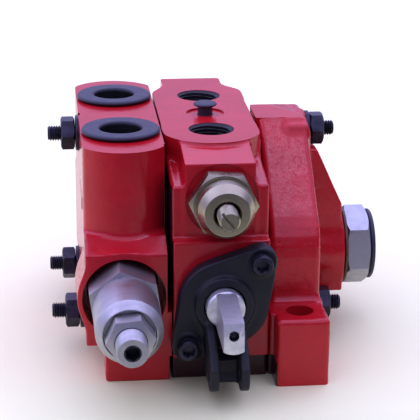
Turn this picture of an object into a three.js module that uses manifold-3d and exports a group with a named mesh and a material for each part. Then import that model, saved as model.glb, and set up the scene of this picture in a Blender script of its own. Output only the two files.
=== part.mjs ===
// A sectional hydraulic directional valve: inlet, working and end section on three tie rods.
// Millimetres. +X runs along the tie rods towards the end section, +Y to the back, +Z up.
// The origin lies in the mounting plane, under the middle between the two working ports.
import * as THREE from "three";
import { mergeVertices } from "three/addons/utils/BufferGeometryUtils.js";
import Module from "manifold-3d";

const wasm = await Module();
wasm.setup();

// ---- driving dimensions ----
const HEIGHT = 111.5; // mounting plane to port face
const GAP = 0.3; // clearance between pieces that meet
const AXIS_Z = 42.5; // height of the spool and of the main relief valve

const WORK_LEFT = -24.6;
const WORK_RIGHT = 24.2;
const INLET_LEFT = -64.3;
const INLET_RIGHT = WORK_LEFT - GAP;
const END_LEFT = WORK_RIGHT + GAP;
const END_RIGHT = 51;

const PORT_Y = 32.3; // working ports A and B lie at +- this
const PORT_RADIUS = 10.5;
const PORT_DEPTH = 16.6;
const PASSAGE_RADIUS = 3.8;
const BOSS_RADIUS = 25; // port boss around each working port

const INLET_MID_Y = -2.2; // the inlet section is symmetric about this plane
const INLET_X = (INLET_LEFT + INLET_RIGHT) / 2;
const INLET_PORT_OFFSET = 32.8;
const INLET_PORT_RADIUS = 13;
const INLET_ARC_RADIUS = 22.8;
const INLET_TOWER_REACH = 68.8; // middle plane to the top of each round tower end
const INLET_BLOCK_REACH = 79.3; // middle plane to the front and back faces of the lower block
const INLET_FRONT = INLET_MID_Y - INLET_BLOCK_REACH;
const LEDGE_Z = 64; // front and back edges of the ledge below the inlet tower

const WORK_X = 0.5; // axis of the spool and of the port relief valve
const WORK_FACE = 78; // front and back face of the upper block
const PAD_FACE = 84.5; // front face of the flange pad
const PAD_TOP = 72.5;
const PAD_BOTTOM = 12.5;

const TOP_ROD = { y: 0, z: HEIGHT - 9.75 };
const FRONT_ROD = { y: -34.3, z: 19.1 };
const REAR_ROD = { y: 34.3, z: 19.1 };
const RODS = { top: TOP_ROD, front: FRONT_ROD, rear: REAR_ROD };
const ROD_RADIUS = 3.9;
const ROD_HOLE = 4.6;
const ROD_LEFT = -79.8;
const ROD_RIGHT = 66.3;
const NUT_FLATS = 15;
const NUT_THICK = 7;
const SPOTFACE = 0.9; // depth of the washer seats in the inlet casting
const WASHER_RADIUS = 9;
const WASHER_THICK = 2.2;

const GALLERY_RADIUS = 7;
const PRESSURE_Z = 70; // pressure gallery, along X at Y = 0
const TANK_Z = 28; // tank gallery, along X at Y = 0

const SPOOL_RADIUS = 9.2;
const SPOOL_BORE = 9.5;
const SPOOL_SHOULDER = -100;
const SPOOL_FRONT = -132;
const SPOOL_REAR = 84;
const TONGUE_HALF_WIDTH = 4.75;
const TONGUE_TOP = 5.8; // the tongue's flat top, above the spool axis

const FLANGE_THICK = 8;
const FLANGE_FRONT = -PAD_FACE - GAP - FLANGE_THICK;
const FLANGE_RADIUS = 21.5;
const SCREW_X = 17.25; // flange screws, from the spool axis
const SCREW_Z = 20.75;
const LOBE_RADIUS = 7.6;
const EAR_THICK = 4.3;
const EAR_GAP = 10;

const RELIEF_X = -46;
const RELIEF_BORE = 20;
const RELIEF_THREAD = 14;
const PORT_RELIEF_Z = 89.9;
const SLOT_ANGLE = 0.87; // how far the port relief screw's slot is turned from level

const TOE_LEFT = 23.6; // beside the front foot, the end section reaches the working section
const TOE_FRONT = -84.3;

const PLUG_Y = -3; // large gallery plug in the end section
const PLUG_Z = 39;
const PLUG_FACE = 70.8;

// Sides of round shapes, by size.
const LARGE = 28;
const MEDIUM = 20;
const SMALL = 14;
const TINY = 10;

// ---- looks ----
const RED = { color: 0xb01228, roughness: 0.28, metalness: 0.0 };
const BLACK_STEEL = { color: 0x16161c, roughness: 0.5, metalness: 0.6 };
const BLACK_IRON = { color: 0x14141b, roughness: 0.45, metalness: 0.1 };
const BLACK_PLASTIC = { color: 0x17171d, roughness: 0.55, metalness: 0.0 };
const ZINC = { color: 0xc9ccd8, roughness: 0.28, metalness: 1.0 };
const STEEL = { color: 0xa9a49c, roughness: 0.35, metalness: 1.0 };
const SPRING_STEEL = { color: 0x6f6f74, roughness: 0.4, metalness: 1.0 };
const RUBBER = { color: 0x1a1a1a, roughness: 0.8, metalness: 0.0 };
const COPPER_SEAL = { color: 0x5a4338, roughness: 0.6, metalness: 0.4 };

// ---- shape tools ----
const X = new THREE.Vector3(1, 0, 0);
const Y = new THREE.Vector3(0, 1, 0);
const Z = new THREE.Vector3(0, 0, 1);
const FORWARD = Y.clone().negate();

// A closed three.js geometry as a solid that can be joined and cut.
function solid(geometry) {
  const bare = geometry.index ? geometry.toNonIndexed() : geometry;
  bare.deleteAttribute("normal");
  bare.deleteAttribute("uv");
  const merged = mergeVertices(bare, 1e-4);
  return new wasm.Manifold(
    new wasm.Mesh({
      numProp: 3,
      vertProperties: merged.attributes.position.array,
      triVerts: new Uint32Array(merged.index.array),
    }),
  );
}

function join(first, ...others) {
  return others.reduce((sum, other) => sum.add(other), first);
}

function cut(first, ...others) {
  return others.reduce((rest, other) => rest.subtract(other), first);
}

function box(x0, x1, y0, y1, z0, z1) {
  const geometry = new THREE.BoxGeometry(x1 - x0, y1 - y0, z1 - z0);
  return solid(geometry.translate((x0 + x1) / 2, (y0 + y1) / 2, (z0 + z1) / 2));
}

// A straight round or many-sided bar from one point to another.
function bar(radius, start, end, sides = MEDIUM, turn = 0) {
  const from = new THREE.Vector3(...start);
  const along = new THREE.Vector3(...end).sub(from);
  const geometry = new THREE.CylinderGeometry(radius, radius, along.length(), sides);
  geometry.translate(0, along.length() / 2, 0).rotateY(turn);
  geometry.applyQuaternion(new THREE.Quaternion().setFromUnitVectors(Y, along.normalize()));
  return solid(geometry.translate(from.x, from.y, from.z));
}

// A profile of [radius, height] points turned about an axis through the given point.
function turned(profile, at, direction, sides = MEDIUM, turn = 0) {
  const points = profile.map(([radius, height]) => new THREE.Vector2(radius, height));
  const geometry = new THREE.LatheGeometry(points, sides).rotateY(turn);
  geometry.applyQuaternion(new THREE.Quaternion().setFromUnitVectors(Y, direction));
  return solid(geometry.translate(...at));
}

// An outline in the XY, YZ or XZ plane, extruded between two values along the third axis.
function slab(outline, axis, low, high) {
  const shape = Array.isArray(outline)
    ? new THREE.Shape(outline.map(([a, b]) => new THREE.Vector2(a, b)))
    : outline;
  const options = { depth: high - low, bevelEnabled: false, curveSegments: TINY };
  const geometry = new THREE.ExtrudeGeometry(shape, options);
  const frame = new THREE.Matrix4();
  if (axis === "x") frame.makeBasis(Y, Z, X).setPosition(low, 0, 0);
  if (axis === "y") frame.makeBasis(X, Z, FORWARD).setPosition(0, high, 0);
  if (axis === "z") frame.setPosition(0, 0, low);
  return solid(geometry.applyMatrix4(frame));
}

const hexRadius = (acrossFlats) => acrossFlats / Math.sqrt(3);

function piece(name, body, look) {
  const { numProp, vertProperties, triVerts } = body.getMesh();
  const geometry = new THREE.BufferGeometry();
  const places = new Float32Array((vertProperties.length / numProp) * 3);
  for (let i = 0; i * 3 < places.length; i++) {
    places.set(vertProperties.subarray(i * numProp, i * numProp + 3), i * 3);
  }
  geometry.setAttribute("position", new THREE.BufferAttribute(places, 3));
  geometry.setIndex(new THREE.BufferAttribute(triVerts, 1));
  geometry.computeVertexNormals();
  const mesh = new THREE.Mesh(geometry, new THREE.MeshStandardMaterial(look));
  mesh.name = name;
  return mesh;
}

function group(...meshes) {
  const made = new THREE.Group();
  made.add(...meshes);
  return made;
}

// Clearance holes for the three tie rods through one section.
function rodHoles(left, right) {
  return Object.values(RODS).map(({ y, z }) =>
    bar(ROD_HOLE, [left - 1, y, z], [right + 1, y, z], TINY),
  );
}

// ---- inlet section ----
const inletPorts = [-1, 1].map((side) => INLET_MID_Y + side * INLET_PORT_OFFSET);

// Plan of the inlet tower: straight sides with a round end at the front and the back.
function towerPlan() {
  const half = (INLET_RIGHT - INLET_LEFT) / 2;
  const spread = Math.asin(half / INLET_ARC_RADIUS);
  const centre = INLET_TOWER_REACH - INLET_ARC_RADIUS;
  const shape = new THREE.Shape();
  const down = -Math.PI / 2;
  shape.absarc(INLET_X, INLET_MID_Y - centre, INLET_ARC_RADIUS, down - spread, down + spread);
  shape.absarc(INLET_X, INLET_MID_Y + centre, INLET_ARC_RADIUS, -down - spread, -down + spread);
  return shape;
}

// Side view of the lower block: a ledge that falls a little towards each end, and two feet.
function inletBlock() {
  const rise = 5.5;
  const slope = 12;
  const front = INLET_FRONT;
  const back = 2 * INLET_MID_Y - front;
  const side = [
    [front, LEDGE_Z],
    [front, 0],
    [back, 0],
    [back, LEDGE_Z],
    [back - slope, LEDGE_Z + rise],
    [front + slope, LEDGE_Z + rise],
  ];
  const whole = slab(side, "x", INLET_LEFT, INLET_RIGHT);
  const footLeft = INLET_LEFT + 9;
  const footDepth = 19;
  const undercut = box(INLET_LEFT - 1, footLeft, front - 1, back + 1, -1, 18.7);
  const arch = box(INLET_LEFT - 1, INLET_RIGHT + 1, front + footDepth, back - footDepth, -1, 6);
  return cut(whole, undercut, arch);
}

function inletSection() {
  const tower = slab(towerPlan(), "z", LEDGE_Z - 10, HEIGHT);
  const reliefEye = bar(
    RELIEF_BORE + 2.4,
    [RELIEF_X, INLET_FRONT, AXIS_Z],
    [RELIEF_X, INLET_FRONT + 32, AXIS_Z],
    LARGE,
  );
  const rodEyes = [FRONT_ROD, REAR_ROD].map(({ y, z }) =>
    bar(9.2, [INLET_LEFT, y, z], [INLET_RIGHT, y, z], SMALL),
  );
  const beyond = box(INLET_RIGHT, INLET_RIGHT + 20, -200, 200, -1, 200);
  const casting = cut(join(inletBlock(), tower, reliefEye, ...rodEyes), beyond);
  const ports = inletPorts.flatMap((y) => [
    bar(INLET_PORT_RADIUS, [INLET_X, y, HEIGHT - 16], [INLET_X, y, HEIGHT + 1]),
    bar(PASSAGE_RADIUS, [INLET_X, y, AXIS_Z], [INLET_X, y, HEIGHT - 10], SMALL),
  ]);
  const reliefBores = [
    bar(RELIEF_BORE, [RELIEF_X, INLET_FRONT - 1, AXIS_Z], [RELIEF_X, -63, AXIS_Z], LARGE),
    bar(RELIEF_THREAD, [RELIEF_X, -64, AXIS_Z], [RELIEF_X, -38, AXIS_Z]),
    bar(PASSAGE_RADIUS, [RELIEF_X, -39, AXIS_Z], [RELIEF_X, inletPorts[1] + 5, AXIS_Z], SMALL),
  ];
  const galleries = [PRESSURE_Z, TANK_Z].map((z) =>
    bar(GALLERY_RADIUS, [INLET_X, 0, z], [INLET_RIGHT + 1, 0, z], SMALL),
  );
  const drop = bar(PASSAGE_RADIUS - 1, [INLET_X, 0, TANK_Z], [INLET_X, 0, PRESSURE_Z], SMALL);
  const seats = Object.values(RODS).map(({ y, z }) =>
    bar(10, [INLET_LEFT - 9, y, z], [INLET_LEFT + SPOTFACE, y, z], SMALL),
  );
  const bores = [...ports, ...reliefBores, ...galleries, drop, ...seats];
  return piece("inlet_section", cut(casting, ...bores, ...rodHoles(INLET_LEFT, INLET_RIGHT)), RED);
}

// A moulded cap pushed into each inlet port: a wide brim and a hollow plug.
function portCap(name, y) {
  const brim = 19.2;
  const hollow = 10.2;
  const profile = [
    [0, -12],
    [12, -12],
    [12.6, -11],
    [12.6, GAP],
    [brim - 0.6, GAP],
    [brim, 0.9],
    [brim, 2],
    [brim - 0.8, 2.65],
    [hollow + 0.5, 2.65],
    [hollow, 2.1],
    [hollow, -10.5],
    [0, -10.5],
  ];
  return piece(name, turned(profile, [INLET_X, y, HEIGHT], Z, LARGE), BLACK_PLASTIC);
}

// ---- working section ----
// Plan of the port face: a round boss about each port, and a narrower tab at the back.
function portFacePlan() {
  const left = WORK_LEFT + 0.25;
  const right = WORK_RIGHT - 1;
  const rise = (x) => Math.sqrt(BOSS_RADIUS ** 2 - x ** 2);
  const angle = (x, y) => Math.atan2(y, x);
  const shape = new THREE.Shape();
  const leftRise = rise(left);
  const rightRise = rise(right);
  shape.absarc(0, -PORT_Y, BOSS_RADIUS, angle(left, -leftRise), angle(right, -rightRise));
  shape.absarc(0, PORT_Y, BOSS_RADIUS, angle(right, rightRise), angle(left, leftRise));
  return shape;
}

const BLOCK_LEFT = -17.2;
const BLOCK_RIGHT = 16.6;
const SHOULDER_Z = 96.5;
const BASE_FRONT = -79; // the foot of the working section
const BASE_REAR = 76;
const BODY_LEFT = -23.2;
const BODY_RIGHT = 23;

// Side view of the working body: level in the middle, falling to the front and the back.
function bodySide() {
  const half = [
    [-30, 60],
    [-30, SHOULDER_Z + 6.4],
    [-WORK_FACE, SHOULDER_Z],
    [-WORK_FACE, PAD_BOTTOM],
  ];
  const back = half.map(([y, z]) => [-y, z]).reverse();
  return [...half.slice(1), ...back.slice(0, 3)];
}

function workCasting() {
  const boss = slab(portFacePlan(), "z", AXIS_Z, HEIGHT);
  const tab = box(-17.4, 14.5, 30, 69, AXIS_Z, HEIGHT);
  const blockSide = [
    [-29, 60],
    [-29, HEIGHT - 0.9],
    [-52, HEIGHT - 1.2],
    [-WORK_FACE - 0.2, HEIGHT - 4],
    [-WORK_FACE - 0.2, 60],
  ];
  const block = slab(blockSide, "x", BLOCK_LEFT, BLOCK_RIGHT);
  const body = slab(bodySide(), "x", BODY_LEFT, BODY_RIGHT);
  const pad = box(BODY_LEFT - 0.1, BODY_RIGHT + 0.1, -PAD_FACE, 10, PAD_BOTTOM - 0.5, PAD_TOP);
  const flush = box(WORK_LEFT + 0.1, 0, -PAD_FACE + 0.1, 12, PAD_BOTTOM - 0.4, 37);
  const base = box(BODY_LEFT - 0.2, BODY_RIGHT + 0.2, BASE_FRONT, BASE_REAR, 0, PAD_BOTTOM + 2);
  const mating = box(WORK_LEFT, WORK_RIGHT, -57, 57, 4, 88);
  const matingTop = box(WORK_LEFT, WORK_RIGHT, -37, 37, 8, 107);
  return join(boss, tab, block, body, pad, flush, base, mating, matingTop);
}

function workBores() {
  const ports = [-PORT_Y, PORT_Y].flatMap((y) => [
    turned(
      [
        [0, -PORT_DEPTH],
        [PORT_RADIUS, -PORT_DEPTH],
        [PORT_RADIUS, -0.8],
        [PORT_RADIUS + 1.8, 1],
        [0, 1],
      ],
      [0, y, HEIGHT],
      Z,
    ),
    bar(PASSAGE_RADIUS, [0, y, AXIS_Z], [0, y, HEIGHT - PORT_DEPTH + 1], SMALL),
  ]);
  const spool = [
    bar(SPOOL_BORE, [WORK_X, -PAD_FACE - 1, AXIS_Z], [WORK_X, WORK_FACE + 1, AXIS_Z]),
    bar(14.5, [WORK_X, -PAD_FACE - 1, AXIS_Z], [WORK_X, -PAD_FACE + 5, AXIS_Z]),
    bar(17, [WORK_X, WORK_FACE - 8, AXIS_Z], [WORK_X, WORK_FACE + 1, AXIS_Z]),
    bar(14.5, [WORK_X, WORK_FACE - 13, AXIS_Z], [WORK_X, WORK_FACE - 7, AXIS_Z]),
  ];
  const flangeScrews = [-1, 1].flatMap((side) => {
    const at = [WORK_X + side * SCREW_X, AXIS_Z + side * SCREW_Z];
    const front = bar(3.2, [at[0], -PAD_FACE - 1, at[1]], [at[0], -PAD_FACE + 15, at[1]], TINY);
    const rear = bar(3.2, [at[0], WORK_FACE - 15, at[1]], [at[0], WORK_FACE + 1, at[1]], TINY);
    return [front, rear];
  });
  const portRelief = [
    bar(9.8, [WORK_X, -WORK_FACE - 1, PORT_RELIEF_Z], [WORK_X, -52, PORT_RELIEF_Z], SMALL),
    bar(5.5, [WORK_X, -53, PORT_RELIEF_Z], [WORK_X, -PORT_Y, PORT_RELIEF_Z], TINY),
  ];
  const galleries = [PRESSURE_Z, TANK_Z].map((z) =>
    bar(GALLERY_RADIUS, [WORK_LEFT - 1, 0, z], [WORK_RIGHT + 1, 0, z], SMALL),
  );
  const feed = bar(6, [WORK_X, 0, AXIS_Z], [WORK_X, 0, PRESSURE_Z], TINY);
  const sealSeats = [PRESSURE_Z, TANK_Z].flatMap((z) => [
    bar(10.5, [WORK_LEFT - 1, 0, z], [WORK_LEFT + 1.9, 0, z]),
    bar(10.5, [WORK_RIGHT - 1.9, 0, z], [WORK_RIGHT + 1, 0, z]),
  ]);
  const stubSeat = [
    bar(9.6, [0, -2, HEIGHT - 0.8], [0, -2, HEIGHT + 1], LARGE),
    bar(4, [0, -2, HEIGHT - 4], [0, -2, HEIGHT + 1], TINY),
  ];
  const drilled = [...ports, ...spool, ...flangeScrews, ...portRelief, ...galleries, feed];
  return [...drilled, ...sealSeats, ...stubSeat];
}

function workingSection() {
  const bores = [...workBores(), ...rodHoles(WORK_LEFT, WORK_RIGHT)];
  return piece("working_section", cut(workCasting(), ...bores), RED);
}

// A small mushroom plug that keeps dirt out of the tapped hole between the ports.
function stubPlug() {
  const profile = [
    [0, -3.6],
    [3.7, -3.6],
    [3.7, 3.8],
    [5.6, 3.8],
    [6, 4.2],
    [6, 4.9],
    [4.6, 5.5],
    [0, 5.7],
  ];
  return piece("stub_plug", turned(profile, [0, -2, HEIGHT], Z, SMALL), BLACK_PLASTIC);
}

// ---- end section ----
const RIB_LEFT = 25.8;
const RIB_RIGHT = 50.2;
const END_MID_Y = -1.2; // the end section is symmetric about this plane
const FOOT_TOP = 33.5;
const FOOT_HOLE_X = 38.4;
const footHoles = [-80.5, 2 * END_MID_Y + 80.5];

// Side view of the end section: a flat ridge, two slopes, two upright faces and two feet.
function endSide() {
  const half = [
    [-12.8, HEIGHT],
    [-59.9, 72.7],
    [-65, 66.2],
    [-66.8, 58],
    [-66.8, FOOT_TOP],
    [-92.8, FOOT_TOP],
    [-92.8, 0],
    [-62.8, 0],
    [-62.8, 6],
  ];
  const front = half.map(([y, z]) => [END_MID_Y + y, z]);
  const back = half.map(([y, z]) => [END_MID_Y - y, z]).reverse();
  return [...front, ...back];
}

// The buttress on the right that carries the gallery plug: a wedge with a round eye.
function buttress() {
  const outline = [
    [49, 19],
    [70.5, 19],
    [68.8, 66.5],
    [49, 109],
  ];
  const wedge = slab(outline, "y", -20, 14);
  const eye = bar(20.5, [55, PLUG_Y, PLUG_Z], [PLUG_FACE, PLUG_Y, PLUG_Z], LARGE);
  const nutRoom = bar(11.4, [END_RIGHT, TOP_ROD.y, TOP_ROD.z], [80, TOP_ROD.y, TOP_ROD.z], SMALL);
  const sideRoom = box(END_RIGHT, 80, -30, 30, TOP_ROD.z - 6, 120);
  const lowRoom = [FRONT_ROD, REAR_ROD].map(({ y, z }) =>
    bar(10.6, [END_RIGHT, y, z], [80, y, z], SMALL),
  );
  return cut(join(wedge, eye), nutRoom, sideRoom, ...lowRoom);
}

function endSection() {
  const rib = slab(endSide(), "x", RIB_LEFT, RIB_RIGHT);
  const feet = [-94, 2 * END_MID_Y + 66].map((y) =>
    box(RIB_LEFT, END_RIGHT + 0.3, y, y + 28, 0, FOOT_TOP),
  );
  const toe = box(TOE_LEFT, RIB_LEFT + 3, TOE_FRONT, -62, 8, FOOT_TOP);
  const face = box(END_LEFT, RIB_LEFT + 2, -52, 50, 8, 62);
  const faceTop = box(END_LEFT, RIB_LEFT + 2, -18, 16, 8, 106);
  const lip = box(END_LEFT, RIB_LEFT + 2, -14, 11.6, 100, HEIGHT);
  const seats = Object.values(RODS).map(({ y, z }) => bar(9.4, [30, y, z], [END_RIGHT, y, z], SMALL));
  const casting = join(rib, ...feet, toe, face, faceTop, lip, ...seats, buttress());
  const trimmed = cut(casting, box(0, 100, -100, 100, HEIGHT, HEIGHT + 20));
  const boltHoles = footHoles.map((y) =>
    bar(6.6, [FOOT_HOLE_X, y, -1], [FOOT_HOLE_X, y, FOOT_TOP + 1], 40),
  );
  const galleries = [
    bar(GALLERY_RADIUS, [END_LEFT - 1, 0, PRESSURE_Z], [40, 0, PRESSURE_Z], SMALL),
    bar(GALLERY_RADIUS, [END_LEFT - 1, 0, TANK_Z], [44, 0, TANK_Z], SMALL),
    bar(15.3, [38, PLUG_Y, PLUG_Z], [PLUG_FACE + 1, PLUG_Y, PLUG_Z]),
  ];
  const bores = [...boltHoles, ...galleries, ...rodHoles(END_LEFT, END_RIGHT + 2)];
  return piece("end_section", cut(trimmed, ...bores), RED);
}

function galleryPlug() {
  const sealThick = 1.5;
  const hexStart = PLUG_FACE + sealThick + 2 * GAP;
  const hexEnd = hexStart + 11.7;
  const hexTurn = -0.15;
  const hex = bar(hexRadius(36), [hexStart, PLUG_Y, PLUG_Z], [hexEnd, PLUG_Y, PLUG_Z], 6, hexTurn);
  const dome = turned(
    [
      [0, 0],
      [23, 0],
      [23, 9.2],
      [18, 11.7],
      [0, 11.7],
    ],
    [hexStart, PLUG_Y, PLUG_Z],
    X,
    LARGE,
  );
  const shank = bar(14.8, [44, PLUG_Y, PLUG_Z], [hexStart + 1, PLUG_Y, PLUG_Z]);
  const socket = bar(12, [hexEnd - 4, PLUG_Y, PLUG_Z], [hexEnd + 1, PLUG_Y, PLUG_Z]);
  const plug = piece("gallery_plug", cut(join(hex.intersect(dome), shank), socket), ZINC);

  const sealProfile = [
    [15.2, 0],
    [20.2, 0],
    [20.2, sealThick],
    [15.2, sealThick],
    [15.2, 0],
  ];
  const sealAt = [PLUG_FACE + GAP, PLUG_Y, PLUG_Z];
  const seal = piece("gallery_plug_seal", turned(sealProfile, sealAt, X), COPPER_SEAL);

  const capProfile = [
    [0, -3.4],
    [11.6, -3.4],
    [11.6, GAP],
    [17.6, GAP],
    [18.2, 0.9],
    [18.2, 2.1],
    [17.4, 2.7],
    [0, 2.7],
  ];
  const cap = turned(capProfile, [hexEnd, PLUG_Y, PLUG_Z], X, LARGE);
  return group(plug, seal, piece("gallery_plug_cap", cap, BLACK_PLASTIC));
}

// ---- tie rods, nuts and washers ----
function tieRod(name, { y, z }) {
  const length = ROD_RIGHT - ROD_LEFT;
  const profile = [
    [0, 0],
    [ROD_RADIUS - 0.7, 0],
    [ROD_RADIUS, 0.7],
    [ROD_RADIUS, length - 0.7],
    [ROD_RADIUS - 0.7, length],
    [0, length],
  ];
  return piece(`tie_rod_${name}`, turned(profile, [ROD_LEFT, y, z], X, TINY), BLACK_STEEL);
}

function tieNut(name, { y, z }, face, outward, turn) {
  const direction = X.clone().multiplyScalar(outward);
  const washerAt = [face + outward * GAP, y, z];
  const washerProfile = [
    [ROD_RADIUS + GAP, 0],
    [WASHER_RADIUS, 0],
    [WASHER_RADIUS, WASHER_THICK],
    [ROD_RADIUS + GAP, WASHER_THICK],
    [ROD_RADIUS + GAP, 0],
  ];
  const washer = turned(washerProfile, washerAt, direction, SMALL);

  const start = washerAt[0] + outward * (WASHER_THICK + GAP);
  const hex = bar(hexRadius(NUT_FLATS), [start, y, z], [start + outward * NUT_THICK, y, z], 6, turn);
  const roundOff = turned(
    [
      [0, 0],
      [8.2, 0],
      [9.6, 0.9],
      [9.6, NUT_THICK - 0.9],
      [8.2, NUT_THICK],
      [0, NUT_THICK],
    ],
    [start, y, z],
    direction,
    SMALL,
  );
  const hole = bar(ROD_RADIUS + GAP, [start - 20, y, z], [start + 20, y, z], TINY);
  return group(
    piece(`tie_washer_${name}`, washer, BLACK_STEEL),
    piece(`tie_nut_${name}`, cut(hex.intersect(roundOff), hole), BLACK_STEEL),
  );
}

function tieSet() {
  const turns = { top: 0.5, front: 0.45, rear: 0.1 };
  const made = new THREE.Group();
  for (const [name, place] of Object.entries(RODS)) {
    made.add(tieRod(name, place));
    made.add(tieNut(`${name}_left`, place, INLET_LEFT + SPOTFACE, -1, turns[name]));
    made.add(tieNut(`${name}_right`, place, END_RIGHT, 1, turns[name]));
  }
  return made;
}

// ---- rings ----
function ring(name, inner, outer, thick, at, direction, look) {
  const profile = [
    [inner, 0],
    [outer, 0],
    [outer, thick],
    [inner, thick],
    [inner, 0],
  ];
  return piece(name, turned(profile, at, direction, SMALL), look);
}

// A round-wire compression spring with its axis along Y.
function spring(name, radius, wire, turns, x, z, y0, y1, look) {
  class Coil extends THREE.Curve {
    getPoint(t) {
      const angle = 2 * Math.PI * turns * t;
      const y = y0 + wire + (y1 - y0 - 2 * wire) * t;
      return new THREE.Vector3(x + radius * Math.cos(angle), y, z + radius * Math.sin(angle));
    }
  }
  const section = new THREE.Shape().absarc(0, 0, wire, 0, 2 * Math.PI);
  const options = { steps: turns * 8, extrudePath: new Coil(), curveSegments: 2 };
  return piece(name, solid(new THREE.ExtrudeGeometry(section, options)), look);
}

// ---- main relief valve in the inlet section ----
function mainRelief() {
  const at = (y) => [RELIEF_X, y, AXIS_Z];
  const front = -126.5;
  const hexFront = -93.5;
  const length = hexFront + 3 - front;
  const bodyHex = bar(hexRadius(32), at(-66), at(hexFront), 6, 0.14);
  const barrelProfile = [
    [0, 0],
    [15.7, 0],
    [15.7, length - 4.5],
    [12.7, length],
    [0, length],
  ];
  const barrel = turned(barrelProfile, at(hexFront + 3), FORWARD, LARGE);
  const shank = bar(RELIEF_THREAD - GAP, at(-67), at(-42));
  const springRoom = bar(9.3, at(-113), at(-49), SMALL);
  const poppetRoom = bar(6, at(-50), at(-41), TINY);
  const screwHole = bar(7.5, at(front - 1), at(-112), SMALL);
  const nutRoom = bar(12.2, at(front - 1), at(front + 2.3));
  const rooms = [springRoom, poppetRoom, screwHole, nutRoom];
  const body = cut(join(bodyHex, barrel, shank), ...rooms);

  const nutFace = front + 2.3 - GAP;
  const lockHex = bar(hexRadius(20), at(nutFace), at(nutFace - 10.6), 6, Math.PI / 6 + 0.1);
  const lockCone = turned(
    [
      [0, 0],
      [11.9, 0],
      [11.9, 7.6],
      [7.9, 10.6],
      [0, 10.6],
    ],
    at(nutFace),
    FORWARD,
  );
  const lockNut = cut(lockHex.intersect(lockCone), bar(7.5, at(-140), at(-110), SMALL));

  const screwProfile = [
    [0, 0],
    [8.6, 0],
    [8.6, 4],
    [7.2, 4.6],
    [7.2, 42.2],
    [6.8, 42.6],
    [0, 42.6],
  ];
  const screwBack = -104.3;
  const socket = bar(hexRadius(6), at(screwBack - 36), at(screwBack - 44), 6, Math.PI / 6);
  const screw = cut(turned(screwProfile, at(screwBack), FORWARD), socket);

  const seatProfile = [
    [0, 0],
    [8.6, 0],
    [8.6, 2.2],
    [4.5, 2.2],
    [4.5, 4],
    [0, 4],
  ];
  const seat = turned(seatProfile, at(screwBack + GAP), Y, SMALL);

  const poppetProfile = [
    [0, 0],
    [2.5, 0],
    [5.5, 6],
    [5.5, 9.4],
    [8.6, 9.4],
    [8.6, 12],
    [4.6, 12],
    [4.6, 18],
    [0, 18],
  ];
  const poppet = turned(poppetProfile, at(-42), FORWARD, SMALL);

  return group(
    piece("main_relief_body", body, ZINC),
    piece("main_relief_lock_nut", lockNut, ZINC),
    piece("main_relief_screw", screw, ZINC),
    piece("main_relief_seat", seat, STEEL),
    piece("main_relief_poppet", poppet, STEEL),
    spring("main_relief_spring", 6.9, 1.5, 9, RELIEF_X, AXIS_Z, -101.5, -54.4, SPRING_STEEL),
    ring("main_relief_seal", 14.4, 17.6, 1.8, at(-63.4), FORWARD, RUBBER),
  );
}

// ---- port relief valve in the working section ----
function portRelief() {
  const at = (y) => [WORK_X, y, PORT_RELIEF_Z];
  const hexBack = -WORK_FACE - 2.1;
  const bodyHex = bar(hexRadius(29), at(hexBack), at(hexBack - 7.4), 6, Math.PI / 6 - 0.07);
  const noseProfile = [
    [0, 0],
    [12.8, 0],
    [12.8, 7.9],
    [13.4, 8.4],
    [13.4, 16],
    [10.7, 21.4],
    [0, 21.4],
  ];
  const nose = turned(noseProfile, at(hexBack), FORWARD, LARGE);
  const shank = bar(9.5, at(hexBack - 1), at(-55), SMALL);
  const screwHole = bar(5.9, at(-108), at(-74), SMALL);
  const springRoom = bar(7, at(-88), at(-54), SMALL);
  const body = cut(join(bodyHex, nose, shank), screwHole, springRoom);

  const screwProfile = [
    [0, 0],
    [6.6, 0],
    [6.6, 1.2],
    [5, 1.6],
    [5, 26.8],
    [4.2, 27.6],
    [0, 27.6],
  ];
  const slot = new THREE.BoxGeometry(16, 5, 1.4).rotateY(SLOT_ANGLE).translate(...at(-112.1));
  const screw = cut(turned(screwProfile, at(-84), FORWARD, SMALL), solid(slot));

  const seatProfile = [
    [0, 0],
    [6.6, 0],
    [6.6, 1.6],
    [3.2, 1.6],
    [3.2, 3],
    [0, 3],
  ];
  const seat = turned(seatProfile, at(-84 + GAP), Y, SMALL);

  const poppetProfile = [
    [0, 0],
    [1.6, 0],
    [5.2, 6],
    [5.2, 8.6],
    [6.6, 8.6],
    [6.6, 10.4],
    [3.4, 10.4],
    [3.4, 15],
    [0, 15],
  ];
  const poppet = turned(poppetProfile, at(-46.2), FORWARD, TINY);

  return group(
    piece("port_relief_body", body, STEEL),
    piece("port_relief_screw", screw, STEEL),
    piece("port_relief_seat", seat, STEEL),
    piece("port_relief_poppet", poppet, STEEL),
    spring("port_relief_spring", 5.1, 1.1, 6, WORK_X, PORT_RELIEF_Z, -81.8, -57, SPRING_STEEL),
    ring("port_relief_seal", 10, 13.2, 1.5, at(-WORK_FACE - GAP), FORWARD, COPPER_SEAL),
  );
}

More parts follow.
